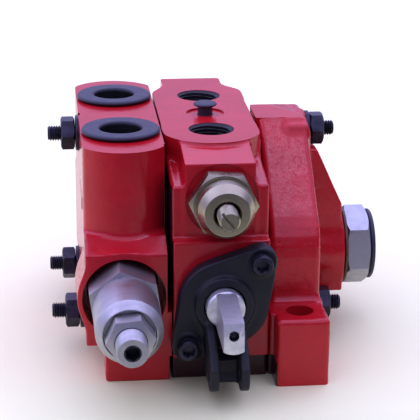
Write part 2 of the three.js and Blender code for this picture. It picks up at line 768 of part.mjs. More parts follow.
// ---- spool and its front bracket ----
function spool() {
  const land = SPOOL_RADIUS;
  const groove = 6.2;
  const grooves = [
    [-62, -50],
    [-25, -13],
    [13, 25],
    [50, 62],
  ];
  const y0 = SPOOL_SHOULDER;
  const profile = [[0, 0], [land - 0.8, 0], [land, 0.8]];
  for (const [from, to] of grooves) {
    profile.push([land, from - y0], [groove, from - y0 + 2], [groove, to - y0 - 2], [land, to - y0]);
  }
  profile.push([land, SPOOL_REAR - y0], [0, SPOOL_REAR - y0]);
  const rod = turned(profile, [WORK_X, y0, AXIS_Z], Y);
  const tongueRound = bar(
    SPOOL_RADIUS - 0.2,
    [WORK_X, SPOOL_FRONT, AXIS_Z],
    [WORK_X, SPOOL_SHOULDER + 1, AXIS_Z],
  );
  const flats = box(
    WORK_X - TONGUE_HALF_WIDTH,
    WORK_X + TONGUE_HALF_WIDTH,
    SPOOL_FRONT - 1,
    SPOOL_SHOULDER + 2,
    AXIS_Z - 20,
    AXIS_Z + TONGUE_TOP,
  );
  const centreHole = bar(1.9, [WORK_X, SPOOL_FRONT - 1, AXIS_Z], [WORK_X, SPOOL_FRONT + 4, AXIS_Z], TINY);
  const endHole = bar(4.3, [WORK_X, SPOOL_REAR - 20, AXIS_Z], [WORK_X, SPOOL_REAR + 1, AXIS_Z], TINY);
  const body = cut(join(rod, tongueRound.intersect(flats)), centreHole, endHole);
  return piece("spool", body, ZINC);
}

// Side view of a lever ear: it leans forward and ends in a round eye for the lever pin.
const EAR_EYE = { y: -113, z: 15, radius: 7 };

function leverBracket() {
  const back = -PAD_FACE - GAP;
  const disc = bar(FLANGE_RADIUS, [WORK_X, FLANGE_FRONT, AXIS_Z], [WORK_X, back, AXIS_Z], LARGE);
  const collar = bar(14, [WORK_X, FLANGE_FRONT - 2.4, AXIS_Z], [WORK_X, back, AXIS_Z]);
  const lobeAt = (side, y) => [WORK_X + side * SCREW_X, y, AXIS_Z + side * SCREW_Z];
  const lobes = [-1, 1].map((side) =>
    bar(LOBE_RADIUS, lobeAt(side, FLANGE_FRONT), lobeAt(side, back), SMALL),
  );
  const reach = Math.hypot(SCREW_X, SCREW_Z);
  const lean = Math.atan2(SCREW_Z, SCREW_X);
  const spread = Math.acos((FLANGE_RADIUS - LOBE_RADIUS) / reach);
  const corner = (radius, along, angle) => [
    along * Math.cos(lean) + radius * Math.cos(lean + angle),
    along * Math.sin(lean) + radius * Math.sin(lean + angle),
  ];
  const skirt = [
    corner(LOBE_RADIUS, reach, spread),
    corner(FLANGE_RADIUS, 0, spread),
    corner(FLANGE_RADIUS, 0, Math.PI - spread),
    corner(LOBE_RADIUS, -reach, Math.PI - spread),
    corner(LOBE_RADIUS, -reach, Math.PI + spread),
    corner(FLANGE_RADIUS, 0, Math.PI + spread),
    corner(FLANGE_RADIUS, 0, -spread),
    corner(LOBE_RADIUS, reach, -spread),
  ];
  const placed = skirt.map(([x, z]) => [x + WORK_X, z + AXIS_Z]);
  const web = slab(placed.reverse(), "y", FLANGE_FRONT, back);

  const { y, z, radius } = EAR_EYE;
  const earSide = [
    [back - 1, 36],
    [back - 1, 10],
    [y, z - radius],
    [y - radius, z],
    [y - radius, z + 5],
    [y - 1, z + 12],
    [FLANGE_FRONT, 36],
  ];
  const ears = [-1, 1].map((side) => {
    const inner = WORK_X + (side * EAR_GAP) / 2;
    const outer = inner + side * EAR_THICK;
    const [low, high] = [Math.min(inner, outer), Math.max(inner, outer)];
    return join(
      slab(earSide.toReversed(), "x", low, high),
      bar(radius, [low, y, z], [high, y, z], SMALL),
    );
  });
  const root = box(WORK_X - 6, WORK_X + 6, -107, back - 1, 8.8, 20);
  const bridge = cut(root, bar(radius + 1, [WORK_X - 7, y, z], [WORK_X + 7, y, z], SMALL));
  const pinHole = bar(3, [-30, y, z], [30, y, z], TINY);
  const bore = bar(SPOOL_BORE + 0.6, [WORK_X, -120, AXIS_Z], [WORK_X, back + 1, AXIS_Z]);
  const screwHoles = [-1, 1].map((side) => bar(3.4, lobeAt(side, -120), lobeAt(side, back + 1), TINY));
  const whole = join(disc, collar, ...lobes, web, ...ears, bridge);
  return piece("lever_bracket", cut(whole, pinHole, bore, ...screwHoles), BLACK_IRON);
}

// A socket-head cap screw; y is where its head bears, and forward is -1 or 1 along Y.
function capScrew(name, x, z, y, forward, shankLength) {
  const direction = Y.clone().multiplyScalar(forward);
  const profile = [
    [0, -shankLength],
    [2.9, -shankLength],
    [2.9, GAP],
    [5, GAP],
    [5, 5.6],
    [4.5, 6.3],
    [0, 6.3],
  ];
  const head = turned(profile, [x, y, z], direction, SMALL);
  const socket = bar(hexRadius(5), [x, y + forward * 3, z], [x, y + forward * 8, z], 6, 0.3);
  return piece(name, cut(head, socket), BLACK_STEEL);
}

function flangeScrews() {
  const place = (side) => [WORK_X + side * SCREW_X, AXIS_Z + side * SCREW_Z];
  return group(
    capScrew("bracket_screw_upper", ...place(1), FLANGE_FRONT, -1, 18),
    capScrew("bracket_screw_lower", ...place(-1), FLANGE_FRONT, -1, 18),
    capScrew("cover_screw_upper", ...place(1), COVER_FACE, 1, 18),
    capScrew("cover_screw_lower", ...place(-1), COVER_FACE, 1, 18),
  );
}

// ---- centring spring and its cover at the back ----
const COVER_BACK = WORK_FACE + GAP;
const COVER_FACE = COVER_BACK + 7;
const COVER_END = 137;

function springCover() {
  const plate = bar(FLANGE_RADIUS, [WORK_X, COVER_BACK, AXIS_Z], [WORK_X, COVER_FACE, AXIS_Z], LARGE);
  const lobes = [-1, 1].map((side) => {
    const x = WORK_X + side * SCREW_X;
    const z = AXIS_Z + side * SCREW_Z;
    return bar(LOBE_RADIUS, [x, COVER_BACK, z], [x, COVER_FACE, z], SMALL);
  });
  const cupProfile = [
    [0, 0],
    [20, 0],
    [20, COVER_END - COVER_BACK - 3],
    [17, COVER_END - COVER_BACK],
    [0, COVER_END - COVER_BACK],
  ];
  const cup = turned(cupProfile, [WORK_X, COVER_BACK, AXIS_Z], Y, LARGE);
  const room = bar(17, [WORK_X, COVER_BACK - 1, AXIS_Z], [WORK_X, COVER_END - 4, AXIS_Z]);
  const screwHoles = [-1, 1].map((side) => {
    const x = WORK_X + side * SCREW_X;
    const z = AXIS_Z + side * SCREW_Z;
    return bar(3.4, [x, COVER_BACK - 1, z], [x, COVER_FACE + 1, z], TINY);
  });
  const headRooms = [-1, 1].map((side) => {
    const x = WORK_X + side * SCREW_X;
    const z = AXIS_Z + side * SCREW_Z;
    return bar(6, [x, COVER_FACE, z], [x, COVER_END + 1, z], TINY);
  });
  const whole = cut(join(plate, ...lobes, cup), room, ...screwHoles, ...headRooms);
  return piece("spring_cover", whole, BLACK_IRON);
}

function centringSpring() {
  const at = (y) => [WORK_X, y, AXIS_Z];
  const screwProfile = [
    [0, -17],
    [4, -17],
    [4, 28.4],
    [7, 28.4],
    [7, 34],
    [0, 34],
  ];
  const seat = (name, y, direction) => {
    const profile = [
      [4.4, 0],
      [16, 0],
      [16, 1.8],
      [8, 1.8],
      [8, 3],
      [4.4, 3],
      [4.4, 0],
    ];
    return piece(name, turned(profile, at(y), direction, SMALL), STEEL);
  };
  return group(
    piece("spool_end_screw", turned(screwProfile, at(SPOOL_REAR), Y, SMALL), BLACK_STEEL),
    seat("spring_seat_front", SPOOL_REAR + GAP, Y),
    seat("spring_seat_rear", SPOOL_REAR + 28.1, FORWARD),
    spring("centring_spring", 12, 1.6, 5, WORK_X, AXIS_Z, SPOOL_REAR + 2.5, SPOOL_REAR + 25.9, SPRING_STEEL),
  );
}

// ---- seals ----
// Rings about the spool, and about both galleries on each joint face.
function seals() {
  const made = new THREE.Group();
  const spoolSeal = (name, y) =>
    ring(name, SPOOL_BORE, 14.2, 4, [WORK_X, y, AXIS_Z], Y, RUBBER);
  made.add(spoolSeal("spool_seal_front", -PAD_FACE + 0.5));
  made.add(spoolSeal("spool_seal_rear", WORK_FACE - 12.5));
  const faces = { left: [WORK_LEFT + 0.1, X], right: [WORK_RIGHT - 0.1, X.clone().negate()] };
  for (const [side, [x, inward]] of Object.entries(faces)) {
    for (const [name, z] of Object.entries({ pressure: PRESSURE_Z, tank: TANK_Z })) {
      made.add(ring(`${name}_seal_${side}`, 7.8, 10.1, 1.6, [x, 0, z], inward, RUBBER));
    }
  }
  return made;
}

const valve = new THREE.Group();
valve.add(inletSection(), workingSection(), endSection());
valve.add(portCap("port_cap_front", inletPorts[0]), portCap("port_cap_rear", inletPorts[1]));
valve.add(stubPlug(), galleryPlug(), tieSet());
valve.add(mainRelief(), portRelief());
valve.add(spool(), leverBracket(), flangeScrews(), springCover(), centringSpring(), seals());

export default valve;
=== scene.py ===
import math

import bmesh
import bpy
import numpy as np
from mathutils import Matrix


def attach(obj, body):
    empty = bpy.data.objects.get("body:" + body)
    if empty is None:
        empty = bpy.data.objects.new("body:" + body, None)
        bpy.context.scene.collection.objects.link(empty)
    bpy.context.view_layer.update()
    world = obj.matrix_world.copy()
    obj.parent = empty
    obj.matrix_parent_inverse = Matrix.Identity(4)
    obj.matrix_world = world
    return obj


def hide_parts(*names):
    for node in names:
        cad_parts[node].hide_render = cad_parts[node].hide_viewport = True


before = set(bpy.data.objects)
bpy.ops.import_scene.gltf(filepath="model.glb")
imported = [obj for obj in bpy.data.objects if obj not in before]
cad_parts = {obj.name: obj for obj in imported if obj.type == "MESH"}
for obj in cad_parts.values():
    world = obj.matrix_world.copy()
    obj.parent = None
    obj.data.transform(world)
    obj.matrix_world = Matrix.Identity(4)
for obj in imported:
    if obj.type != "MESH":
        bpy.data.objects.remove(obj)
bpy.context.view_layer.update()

import openvdb
from mathutils import Matrix, Vector

# Shapes are in millimetres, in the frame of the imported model, and become metres in object_of.
MM = 0.001
X, Y, Z = Vector((1, 0, 0)), Vector((0, 1, 0)), Vector((0, 0, 1))
FRONT = -Y
GRID_STEP = 0.6  # of the cast shapes
GAP = 0.3  # what the CAD leaves between neighbours
HEIGHT = 111.5  # machined tops of the castings
AXIS_Z = 42.5  # height of the spool and the main relief valve
OVER = 130  # a height above everything
RODS = {"top": (0.0, 101.75), "front": (-34.3, 19.1), "rear": (34.3, 19.1)}  # y, z
INLET_X, INLET_MID_Y, INLET_LEFT = -44.6, -2.2, -64.3
INLET_PORTS = {"front": -35.0, "rear": 30.6}  # y
RELIEF_X, RELIEF_AXIS = -46.0, (-46.0, 0, AXIS_Z)
WORK_X, SPOOL_AXIS = 0.5, (0.5, 0, AXIS_Z)
PORTS, PORT_RADIUS = {"b": -32.3, "a": 32.3}, 10.5  # y
PORT_RELIEF_Z = 89.9
PORT_RELIEF_AXIS = (WORK_X, 0, PORT_RELIEF_Z)
STUB_Y = -2
END_MID_Y, END_LEFT = -1.2, 25.8
PLUG_AXIS, PLUG_FACE = (0, -3, 39), 70.8


# ---- meshes ----
def object_of(points, faces):
    """An object from points in millimetres, with its faces turned outwards."""
    mesh = bpy.data.meshes.new("shape")
    mesh.from_pydata((np.asarray(points) * MM).tolist(), [], faces)
    mesh.validate()
    bm = bmesh.new()
    bm.from_mesh(mesh)
    bmesh.ops.recalc_face_normals(bm, faces=bm.faces)
    bm.to_mesh(mesh)
    bm.free()
    made = bpy.data.objects.new("shape", mesh)
    bpy.context.scene.collection.objects.link(made)
    return made


def basis(direction):
    """Two directions at right angles to this one, and the direction itself."""
    along = Vector(direction).normalized()
    side = Z if abs(along.z) < 0.9 else X
    u = side.cross(along).normalized()
    return u, along.cross(u), along


def placed(points, centre, direction):
    """Points given as (across, across, along) put on an axis."""
    u, v, w = (np.array(axis) for axis in basis(direction))
    return points[..., 0:1] * u + points[..., 1:2] * v + points[..., 2:3] * w + np.array(centre)


def around(sides):
    return np.linspace(0, 2 * math.pi, sides, endpoint=False)


def turned(profile, sides):
    """Rings of points about an axis, one for each (radius, height) of a profile."""
    c, s = np.cos(around(sides)), np.sin(around(sides))
    return np.array([np.stack([r * c, r * s, np.full(sides, float(h))], -1) for r, h in profile])


def walls(count, sides, closed=False):
    """The faces between rings, and from the last ring to the first if closed."""
    faces = []
    for ring in range(count if closed else count - 1):
        near, far = ring * sides, (ring + 1) % count * sides
        for side in range(sides):
            after = (side + 1) % sides
            faces.append((near + side, near + after, far + after, far + side))
    return faces


def capped(rings, heights, centre, direction):
    """A body over rings, closed at both ends by a point on the axis, at these heights."""
    count, sides = rings.shape[:2]
    tips = [[0, 0, height] for height in heights]
    points = placed(np.concatenate([rings.reshape(-1, 3), tips]), centre, direction)
    first, last, end = count * sides, count * sides + 1, (count - 1) * sides
    faces = walls(count, sides)
    for side in range(sides):
        after = (side + 1) % sides
        faces += [(first, after, side), (last, end + side, end + after)]
    return object_of(points, faces)


def looped(rings, centre, direction):
    """A ring-shaped body over rings, the last joined to the first."""
    points = placed(rings, centre, direction).reshape(-1, 3)
    return object_of(points, walls(*rings.shape[:2], closed=True))


def arc(start, corner, end, steps):
    """Points of a small arc in the place of a corner."""
    shares = [step / steps for step in range(steps + 1)]
    return [(1 - t) ** 2 * start + 2 * t * (1 - t) * corner + t * t * end for t in shares]


def rounded(profile, radius=0.3):
    """A profile with its corners turned into small arcs; a point's third number is its own radius."""
    points = [np.array(p[:2], float) for p in profile]
    out = [points[0]]
    for index in range(1, len(points) - 1):
        before, here, after = points[index - 1 : index + 2]
        size = profile[index][2] if len(profile[index]) > 2 else radius
        back, ahead = before - here, after - here
        reach = min(size, min(np.linalg.norm(back), np.linalg.norm(ahead)) * 0.45)
        if reach < 0.01:
            out.append(here)
            continue
        start = here + back / np.linalg.norm(back) * reach
        end = here + ahead / np.linalg.norm(ahead) * reach
        out += arc(start, here, end, 3)
    return [*out, points[-1]]


def lathe(profile, centre, direction, sides=96, radius=0.3):
    """A round body from a profile that starts and ends on the axis."""
    line = rounded(profile, radius)
    return capped(turned(line[1:-1], sides), (line[0][1], line[-1][1]), centre, direction)


def tube(profile, centre, direction, sides=96, radius=0.3):
    """A round ring from a closed profile."""
    return looped(turned(rounded([*profile, *profile[:2]], radius)[1:-1], sides), centre, direction)


def prism(corners, centre, direction, low, high):
    """A straight prism over an outline of (across, across) points about an axis."""
    count = len(corners)
    rings = np.zeros((2, count, 3))
    rings[:, :, :2] = np.array(corners)
    rings[0, :, 2], rings[1, :, 2] = low, high
    faces = [(i, (i + 1) % count, count + (i + 1) % count, count + i) for i in range(count)]
    faces += [tuple(range(count))[::-1], tuple(range(count, 2 * count))]
    return object_of(placed(rings, centre, direction).reshape(-1, 3), faces)


def circle(radius, angles):
    return [np.array((radius * math.cos(a), radius * math.sin(a))) for a in angles]


def drill(radius, start, end, sides=96):
    """A plain round cutter from one point to another."""
    start, end = Vector(start), Vector(end)
    outline = circle(radius, [2 * math.pi * i / sides for i in range(sides)])
    return prism(outline, start, end - start, 0, (end - start).length)


def bore(radius, x, z, front, back, sides=96):
    """A plain round cutter along y."""
    return drill(radius, (x, front, z), (x, back, z), sides)


def block(low, high):
    """A plain box cutter."""
    corners = [(low[0], low[1]), (high[0], low[1]), (high[0], high[1]), (low[0], high[1])]
    points = [(x, y, z) for z in (low[2], high[2]) for x, y in corners]
    faces = [(0, 1, 5, 4), (1, 2, 6, 5), (2, 3, 7, 6), (3, 0, 4, 7), (3, 2, 1, 0), (4, 5, 6, 7)]
    return object_of(points, faces)


def rod_holes(low, high):
    return [drill(4.6, (low, y, z), (high, y, z), 32) for y, z in RODS.values()]


def combine(first, others, operation="DIFFERENCE"):
    """Cuts from one object the others, or joins them to it; the others are used up."""
    for other in others:
        modifier = first.modifiers.new("combine", "BOOLEAN")
        modifier.operation = operation
        modifier.solver = "MANIFOLD"
        modifier.object = other
        seen = bpy.context.evaluated_depsgraph_get()
        made = bpy.data.meshes.new_from_object(first.evaluated_get(seen))
        first.modifiers.remove(modifier)
        first.data = made
        bpy.data.objects.remove(other)
    return first


def join(first, *others):
    return combine(first, others, "UNION")


def common(first, *others):
    return combine(first, others, "INTERSECT")


def soften(piece, width, steps=2):
    """Breaks the sharp edges of a small piece with a narrow bevel."""
    modifier = piece.modifiers.new("edges", "BEVEL")
    modifier.width = width * MM
    modifier.segments = steps
    modifier.limit_method = "ANGLE"
    modifier.angle_limit = math.radians(28)


def dress(piece, name, material, nodes=(), body="housing", angle=30):
    """Names a finished piece, gives it its material and puts it on its body."""
    piece.name = name
    piece.data.name = name
    piece.data.materials.clear()
    piece.data.materials.append(material)
    piece.data.shade_smooth()
    piece.data.set_sharp_from_angle(angle=math.radians(angle))
    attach(piece, body)
    if nodes:
        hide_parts(*nodes)


def hexagon(flats, turn, round_off=0.25):
    """A hexagon's outline, its six corners slightly rounded."""
    radius = flats / math.sqrt(3)
    corners = circle(radius, [turn + k * math.pi / 3 for k in range(6)])
    outline = []
    for k, here in enumerate(corners):
        start = here + (corners[k - 1] - here) / radius * round_off
        end = here + (corners[(k + 1) % 6] - here) / radius * round_off
        outline += arc(start, here, end, 2)
    return outline


def hex_turn(node, centre, direction, low, high):
    """The angle of a CAD hexagon's corners about an axis, from its vertices between two heights."""
    u, v, w = basis(direction)
    found = []
    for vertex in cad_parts[node].data.vertices:
        place = vertex.co / MM - Vector(centre)
        if low <= place.dot(w) <= high:
            across = place.dot(u), place.dot(v)
            found.append((math.hypot(*across), math.atan2(across[1], across[0])))
    reach = max(r for r, _ in found)
    angles = [a for r, a in found if r > reach - 0.15]
    return math.atan2(sum(math.sin(6 * a) for a in angles), sum(math.cos(6 * a) for a in angles)) / 6


def hex_body(node, flats, centre, direction, low, high, chamfers, sides=144, round_off=0.25):
    """A hexagon turned as its CAD node is.

    Its chamfers are (radius, depth) at one end, the widest radius, (radius, depth) at the other."""
    turn = hex_turn(node, centre, direction, low - 0.3, high + 0.3)
    body = prism(hexagon(flats, turn, round_off), centre, direction, low, high)
    (first, rise), wide, (last, fall) = chamfers
    line = [(0, low), (first, low), (wide, low + rise), (wide, high - fall), (last, high), (0, high)]
    return common(body, lathe(line, centre, direction, sides, 0.05))


# ---- cast shapes, as distance fields on a grid ----
class Field:
    def __init__(self, low, high):
        self.low = np.array(low, float)
        axes = [np.arange(a, b, GRID_STEP, dtype=np.float32) for a, b in zip(low, high)]
        self.x, self.y, self.z = np.meshgrid(*axes, indexing="ij", sparse=True)

    def solid(self, distance):
        """The surface where the distance is 0, as an object."""
        size = (self.x.size, self.y.size, self.z.size)
        values = np.broadcast_to(np.clip(distance, -3, 3), size)
        grid = openvdb.FloatGrid(3.0)
        grid.copyFromArray(np.array(values, dtype=np.float32, order="C"))
        points, triangles, quads = grid.convertToPolygons(0.0, 0.0)
        return object_of(points * GRID_STEP + self.low, quads.tolist() + triangles.tolist())


def melt(a, b, size):
    """The join of two distances with a fillet."""
    mix = np.maximum(size - np.abs(a - b), 0) / size
    return np.minimum(a, b) - mix * mix * size * 0.25


def bite(a, b, size):
    """The first distance without the second, with rounded edges."""
    return -melt(-a, b, size)


def raised(flat, across, low, high, edge):
    """A flat distance made solid between two values of the third coordinate, with rounded edges."""
    side = np.abs(across - (low + high) / 2) - (high - low) / 2 + edge
    flat = flat + edge
    outside = np.hypot(np.maximum(flat, 0), np.maximum(side, 0))
    return np.minimum(np.maximum(flat, side), 0) + outside - edge


def inset(outline, size):
    """An outline (counter-clockwise) moved inwards by a distance."""
    points = [np.array(p, float) for p in outline]
    out = []
    for index, here in enumerate(points):
        before, after = points[index - 1], points[(index + 1) % len(points)]
        ahead = (after - here) / np.linalg.norm(after - here)
        back = (here - before) / np.linalg.norm(here - before)
        n1, n2 = np.array((-back[1], back[0])), np.array((-ahead[1], ahead[0]))
        out.append(here + (n1 + n2) / (1 + n1 @ n2) * size)
    return out


def outline_distance(outline, a, b, edge=0.0):
    """Distance in a plane to an outline (counter-clockwise), whose corners are rounded by edge."""
    points = inset(outline, edge) if edge else [np.array(p, float) for p in outline]
    best, inside = None, None
    for index, start in enumerate(points):
        end = points[(index + 1) % len(points)]
        run = end - start
        da, db = a - start[0], b - start[1]
        t = np.clip((da * run[0] + db * run[1]) / (run @ run), 0, 1)
        far = (da - t * run[0]) ** 2 + (db - t * run[1]) ** 2
        best = far if best is None else np.minimum(best, far)
        if abs(run[1]) > 1e-9:
            low, high = min(start[1], end[1]), max(start[1], end[1])
            hit = (b >= low) & (b < high) & (a < start[0] + (b - start[1]) * run[0] / run[1])
            inside = hit if inside is None else inside ^ hit
    return np.where(inside, -1.0, 1.0) * np.sqrt(best) - edge


def rounded_box(field, low, high, edge):
    parts = [
        np.abs(values - (a + b) / 2) - (b - a) / 2 + edge
        for values, a, b in zip((field.x, field.y, field.z), low, high)
    ]
    outside = np.sqrt(sum(np.maximum(part, 0) ** 2 for part in parts))
    inner = np.minimum(np.maximum(np.maximum(parts[0], parts[1]), parts[2]), 0)
    return outside + inner - edge


def round_bar(field, axis, centre, radius, low, high, edge):
    """A round bar along x or y; centre holds the other two coordinates."""
    a, along = (field.y, field.x) if axis == "x" else (field.x, field.y)
    flat = np.hypot(a - centre[0], field.z - centre[1]) - radius
    return raised(flat, along, low, high, edge)


def waves(field, seed, cell, height):
    """Smooth random unevenness with bumps about one cell across."""
    rng = np.random.default_rng(seed)
    weights = []
    for values in (field.x.ravel(), field.y.ravel(), field.z.ravel()):
        place = (values - values[0]) / cell + 1
        whole = place.astype(int)
        part = place - whole
        table = np.zeros((values.size, int(place[-1]) + 4), np.float32)
        cubic = (
            (1 - part) ** 3 / 6,
            (3 * part**3 - 6 * part**2 + 4) / 6,
            (-3 * part**3 + 3 * part**2 + 3 * part + 1) / 6,
            part**3 / 6,
        )
        for offset, share in enumerate(cubic):
            table[np.arange(values.size), whole + offset - 1] += share
        weights.append(table)
    noise = rng.uniform(-1, 1, [table.shape[1] for table in weights]).astype(np.float32)
    noise = np.tensordot(weights[0], noise, (1, 0))
    noise = np.tensordot(weights[1], noise, (1, 1)).transpose(1, 0, 2)
    return np.tensordot(noise, weights[2], (2, 1)) * height * 2.2


# ---- materials ----
class Nodes:
    """Helpers to build a node tree."""

    def __init__(self, owner):
        owner.use_nodes = True
        self.tree = owner.node_tree
        self.tree.nodes.clear()

    def node(self, kind, inputs=None, **settings):
        made = self.tree.nodes.new(kind)
        for key, value in settings.items():
            setattr(made, key, value)
        for key, value in (inputs or {}).items():
            self.give(made.inputs[key], value)
        return made

    def give(self, socket, value):
        if isinstance(value, bpy.types.NodeSocket):
            self.tree.links.new(value, socket)
        elif isinstance(value, (tuple, list)) and len(value) == 3 and socket.type == "RGBA":
            socket.default_value = (*value, 1)
        else:
            socket.default_value = value

    def math(self, operation, a, b):
        return self.node("ShaderNodeMath", {0: a, 1: b}, operation=operation).outputs[0]

    def plus(self, a, b):
        return self.math("ADD", a, b)

    def times(self, a, b):
        return self.math("MULTIPLY", a, b)

    def below(self, a, b):
        return self.math("LESS_THAN", a, b)

    def shift(self, vector, operation, by):
        return self.node("ShaderNodeVectorMath", {0: vector, 1: by}, operation=operation).outputs[0]

    def split(self, vector):
        return self.node("ShaderNodeSeparateXYZ", {0: vector}).outputs

    def span(self, value, low, high, to_low=0.0, to_high=1.0, **settings):
        ends = {"From Min": low, "From Max": high, "To Min": to_low, "To Max": to_high}
        return self.node("ShaderNodeMapRange", {"Value": value, **ends}, clamp=True, **settings).outputs[0]


class Look(Nodes):
    """A Principled material with its own noise, colour and bump helpers."""

    def __init__(self, name, **values):
        self.material = bpy.data.materials.new(name)
        super().__init__(self.material)
        self.shader = self.node("ShaderNodeBsdfPrincipled", values)
        self.node("ShaderNodeOutputMaterial", {"Surface": self.shader.outputs[0]})
        self.place = self.node("ShaderNodeTexCoord").outputs["Object"]
        self.normal = None

    def noise(self, size_mm, detail=2.0, rough=0.5, place=None):
        """Noise whose bumps are about this many millimetres across."""
        inputs = {"Scale": 1 / (size_mm * MM), "Detail": detail, "Roughness": rough, "Distortion": 0.0}
        inputs["Vector"] = place if place is not None else self.place
        return self.node("ShaderNodeTexNoise", inputs).outputs["Fac"]

    def blend(self, factor, first, second):
        return self.node("ShaderNodeMix", {0: factor, 6: first, 7: second}, data_type="RGBA").outputs[2]

    def bump(self, height, depth_mm):
        inputs = {"Height": height, "Distance": depth_mm * MM, "Strength": 1.0}
        if self.normal is not None:
            inputs["Normal"] = self.normal
        self.normal = self.node("ShaderNodeBump", inputs).outputs[0]
        self.give(self.shader.inputs["Normal"], self.normal)

    def set(self, **values):
        for key, value in values.items():
            self.give(self.shader.inputs[key.replace("_", " ")], value)


PAINT, WORN_PAINT = (0.45, 0.0085, 0.018), (0.55, 0.012, 0.026)
# Dark specks of dirt; painted shade under the working section's pad; painted shade on its joint face in
# the gap between sections.
SPECK, SHADE_UNDER_PAD, GAP_SHADE = (0.12, 0.008, 0.014), (0.010, 0.006, 0.012), (0.008, 0.009, 0.016)
# Painted shade: deep in the working ports, in socket and centre holes, and inside the cap hollows.
SHADE_IN_PORT, SHADE_IN_HOLE, SHADE_IN_CAP = (0.012, 0.010, 0.012), (0.02, 0.02, 0.04), (0.002, 0.002, 0.003)
UNDER_PAD_SHADE_TOP = 12.3  # the painted shade under the pad ends here
JOINT_LEFT, JOINT_TOP = -22.8, 96  # where the working section's joint face shows in the gap, painted near black as shade


def enamel(name, cast_depth, seed, shade_left_of=None, working=False):
    """Glossy red paint over a casting; level tops are machined, so they are smoother.

    Left of a limit the bottom is painted near black, as shade under the pad. The working section's joint
    face in the gap and its ports get painted shade too."""
    look = Look(name, IOR=1.5)
    x, y, z = look.split(look.place)
    look.place = look.shift(look.place, "ADD", (seed, seed, seed))
    fine = look.noise(3.2, 4, 0.6)
    shade = look.plus(look.times(look.noise(22, 3), 0.7), look.times(fine, 0.3))
    color = look.blend(look.span(shade, 0.35, 0.65), PAINT, WORN_PAINT)
    specks = look.span(look.noise(1.1, 1), 0.765, 0.80)
    color = look.blend(look.times(specks, 0.35), color, SPECK)
    if shade_left_of:
        # Painted shade under the pad, with a ragged top edge.
        edge = look.plus(z, look.times(fine, 1.5 * MM))
        low = look.span(edge, (UNDER_PAD_SHADE_TOP - 0.2) * MM, (UNDER_PAD_SHADE_TOP + 1.4) * MM, 1.0, 0.0)
        low = look.times(low, look.below(x, shade_left_of * MM))
        color = look.blend(look.times(low, 0.93), color, SHADE_UNDER_PAD)
    if working:
        # Painted shade: the joint face that shows in the gap between sections is painted near black.
        joint = look.times(look.below(x, JOINT_LEFT * MM), look.below(z, JOINT_TOP * MM))
        color = look.blend(look.times(joint, 0.93), color, GAP_SHADE)
        # Painted shade deep inside the ports, below the machined top.
        for port_y in PORTS.values():
            along = look.math("SUBTRACT", y, port_y * MM)
            far = look.plus(look.times(x, x), look.times(along, along))
            inside = look.below(far, ((PORT_RADIUS + 1.5) * MM) ** 2)
            inside = look.times(inside, look.below(z, (HEIGHT - 0.4) * MM))
            color = look.blend(inside, color, SHADE_IN_PORT)
    facing = look.node("ShaderNodeNewGeometry").outputs["Normal"]
    cast = look.span(look.split(facing)[2], 0.9, 0.985, 1.0, 0.12)
    pits = look.span(look.noise(2.1, 2), 0.30, 0.42)
    grains = look.plus(look.noise(0.75, 3, 0.55), look.times(pits, 0.8))
    look.bump(look.noise(7, 2), 0.09)
    look.bump(look.times(grains, cast), cast_depth)
    look.bump(look.noise(1.5, 1.5, 0.5), 0.010)
    look.set(Base_Color=color, Roughness=look.span(fine, 0.3, 0.7, 0.13, 0.24))
    return look.material


def machined(
    name, color, rough, centre, along, dark=(0.35, 0.33, 0.36), metal=1.0, marks=0.012, spots=0.25,
    hole=None,
):
    """Turned metal with fine rings about an axis, uneven plating and a few handling marks.

    A hole in its end, given as (radius, where it starts), is painted dark, as shade in the hole."""
    look = Look(name, Metallic=metal)
    parts = look.split(look.shift(look.place, "SUBTRACT", [c * MM for c in centre]))
    run = parts[along]
    squares = [look.times(parts[i], parts[i]) for i in range(3) if i != along]
    radius = look.math("SQRT", look.plus(*squares), 0.0)
    rings = look.node("ShaderNodeCombineXYZ", {0: run, 1: radius}).outputs[0]
    fine, stains = look.noise(0.32, 2, 0.6, rings), look.noise(5.5, 4, 0.6)
    dots = look.span(look.noise(0.9, 2), 0.70, 0.78)
    tone = look.blend(look.span(stains, 0.35, 0.7, 0.0, 0.5), color, dark)
    tone = look.blend(look.span(fine, 0.35, 0.75, 0.0, 0.22), tone, dark)
    tone = look.blend(look.times(dots, spots), tone, tuple(c * 0.25 for c in dark))
    worn = look.plus(look.span(stains, 0.3, 0.7, -0.06, 0.08), look.span(fine, 0.3, 0.7, -0.05, 0.05))
    look.bump(fine, marks)
    look.bump(look.noise(2.4, 2, 0.5, rings), marks * 1.6)
    look.bump(look.noise(0.5, 3), 0.004)
    # Painted shade inside the hole in the end.
    if hole:
        deep = look.math("GREATER_THAN", run, hole[1] * MM)
        deep = look.times(deep, look.below(radius, hole[0] * MM))
        tone = look.blend(look.times(deep, 0.9), tone, SHADE_IN_HOLE)
    look.set(Base_Color=tone, Roughness=look.plus(worn, rough))
    return look.material


def blackened(name, color, rough, grain, depth, metal, sheen, deep=None):
    """Black oxide, black iron, rubber or moulded black plastic, with an uneven satin surface.

    Below the height deep it is painted darker still, as shade inside the hollow."""
    look = Look(name, Metallic=metal)
    patches, fine = look.noise(6, 4, 0.6), look.noise(grain, 3, 0.6)
    tone = look.blend(look.span(patches, 0.4, 0.75, 0.0, 0.55), color, sheen)
    if deep:
        # Painted shade inside the hollow and on the low edge of the brim.
        height = look.split(look.place)[2]
        inside = look.span(height, (deep - 0.8) * MM, (deep + 0.4) * MM, 0.92, 0.0)
        tone = look.blend(inside, tone, SHADE_IN_CAP)
    look.bump(patches, depth * 1.5)
    look.bump(fine, depth)
    worn = look.plus(look.span(patches, 0.3, 0.7, -0.07, 0.07), look.span(fine, 0.3, 0.7, -0.05, 0.05))
    look.set(Base_Color=tone, Roughness=look.plus(worn, rough))
    return look.material


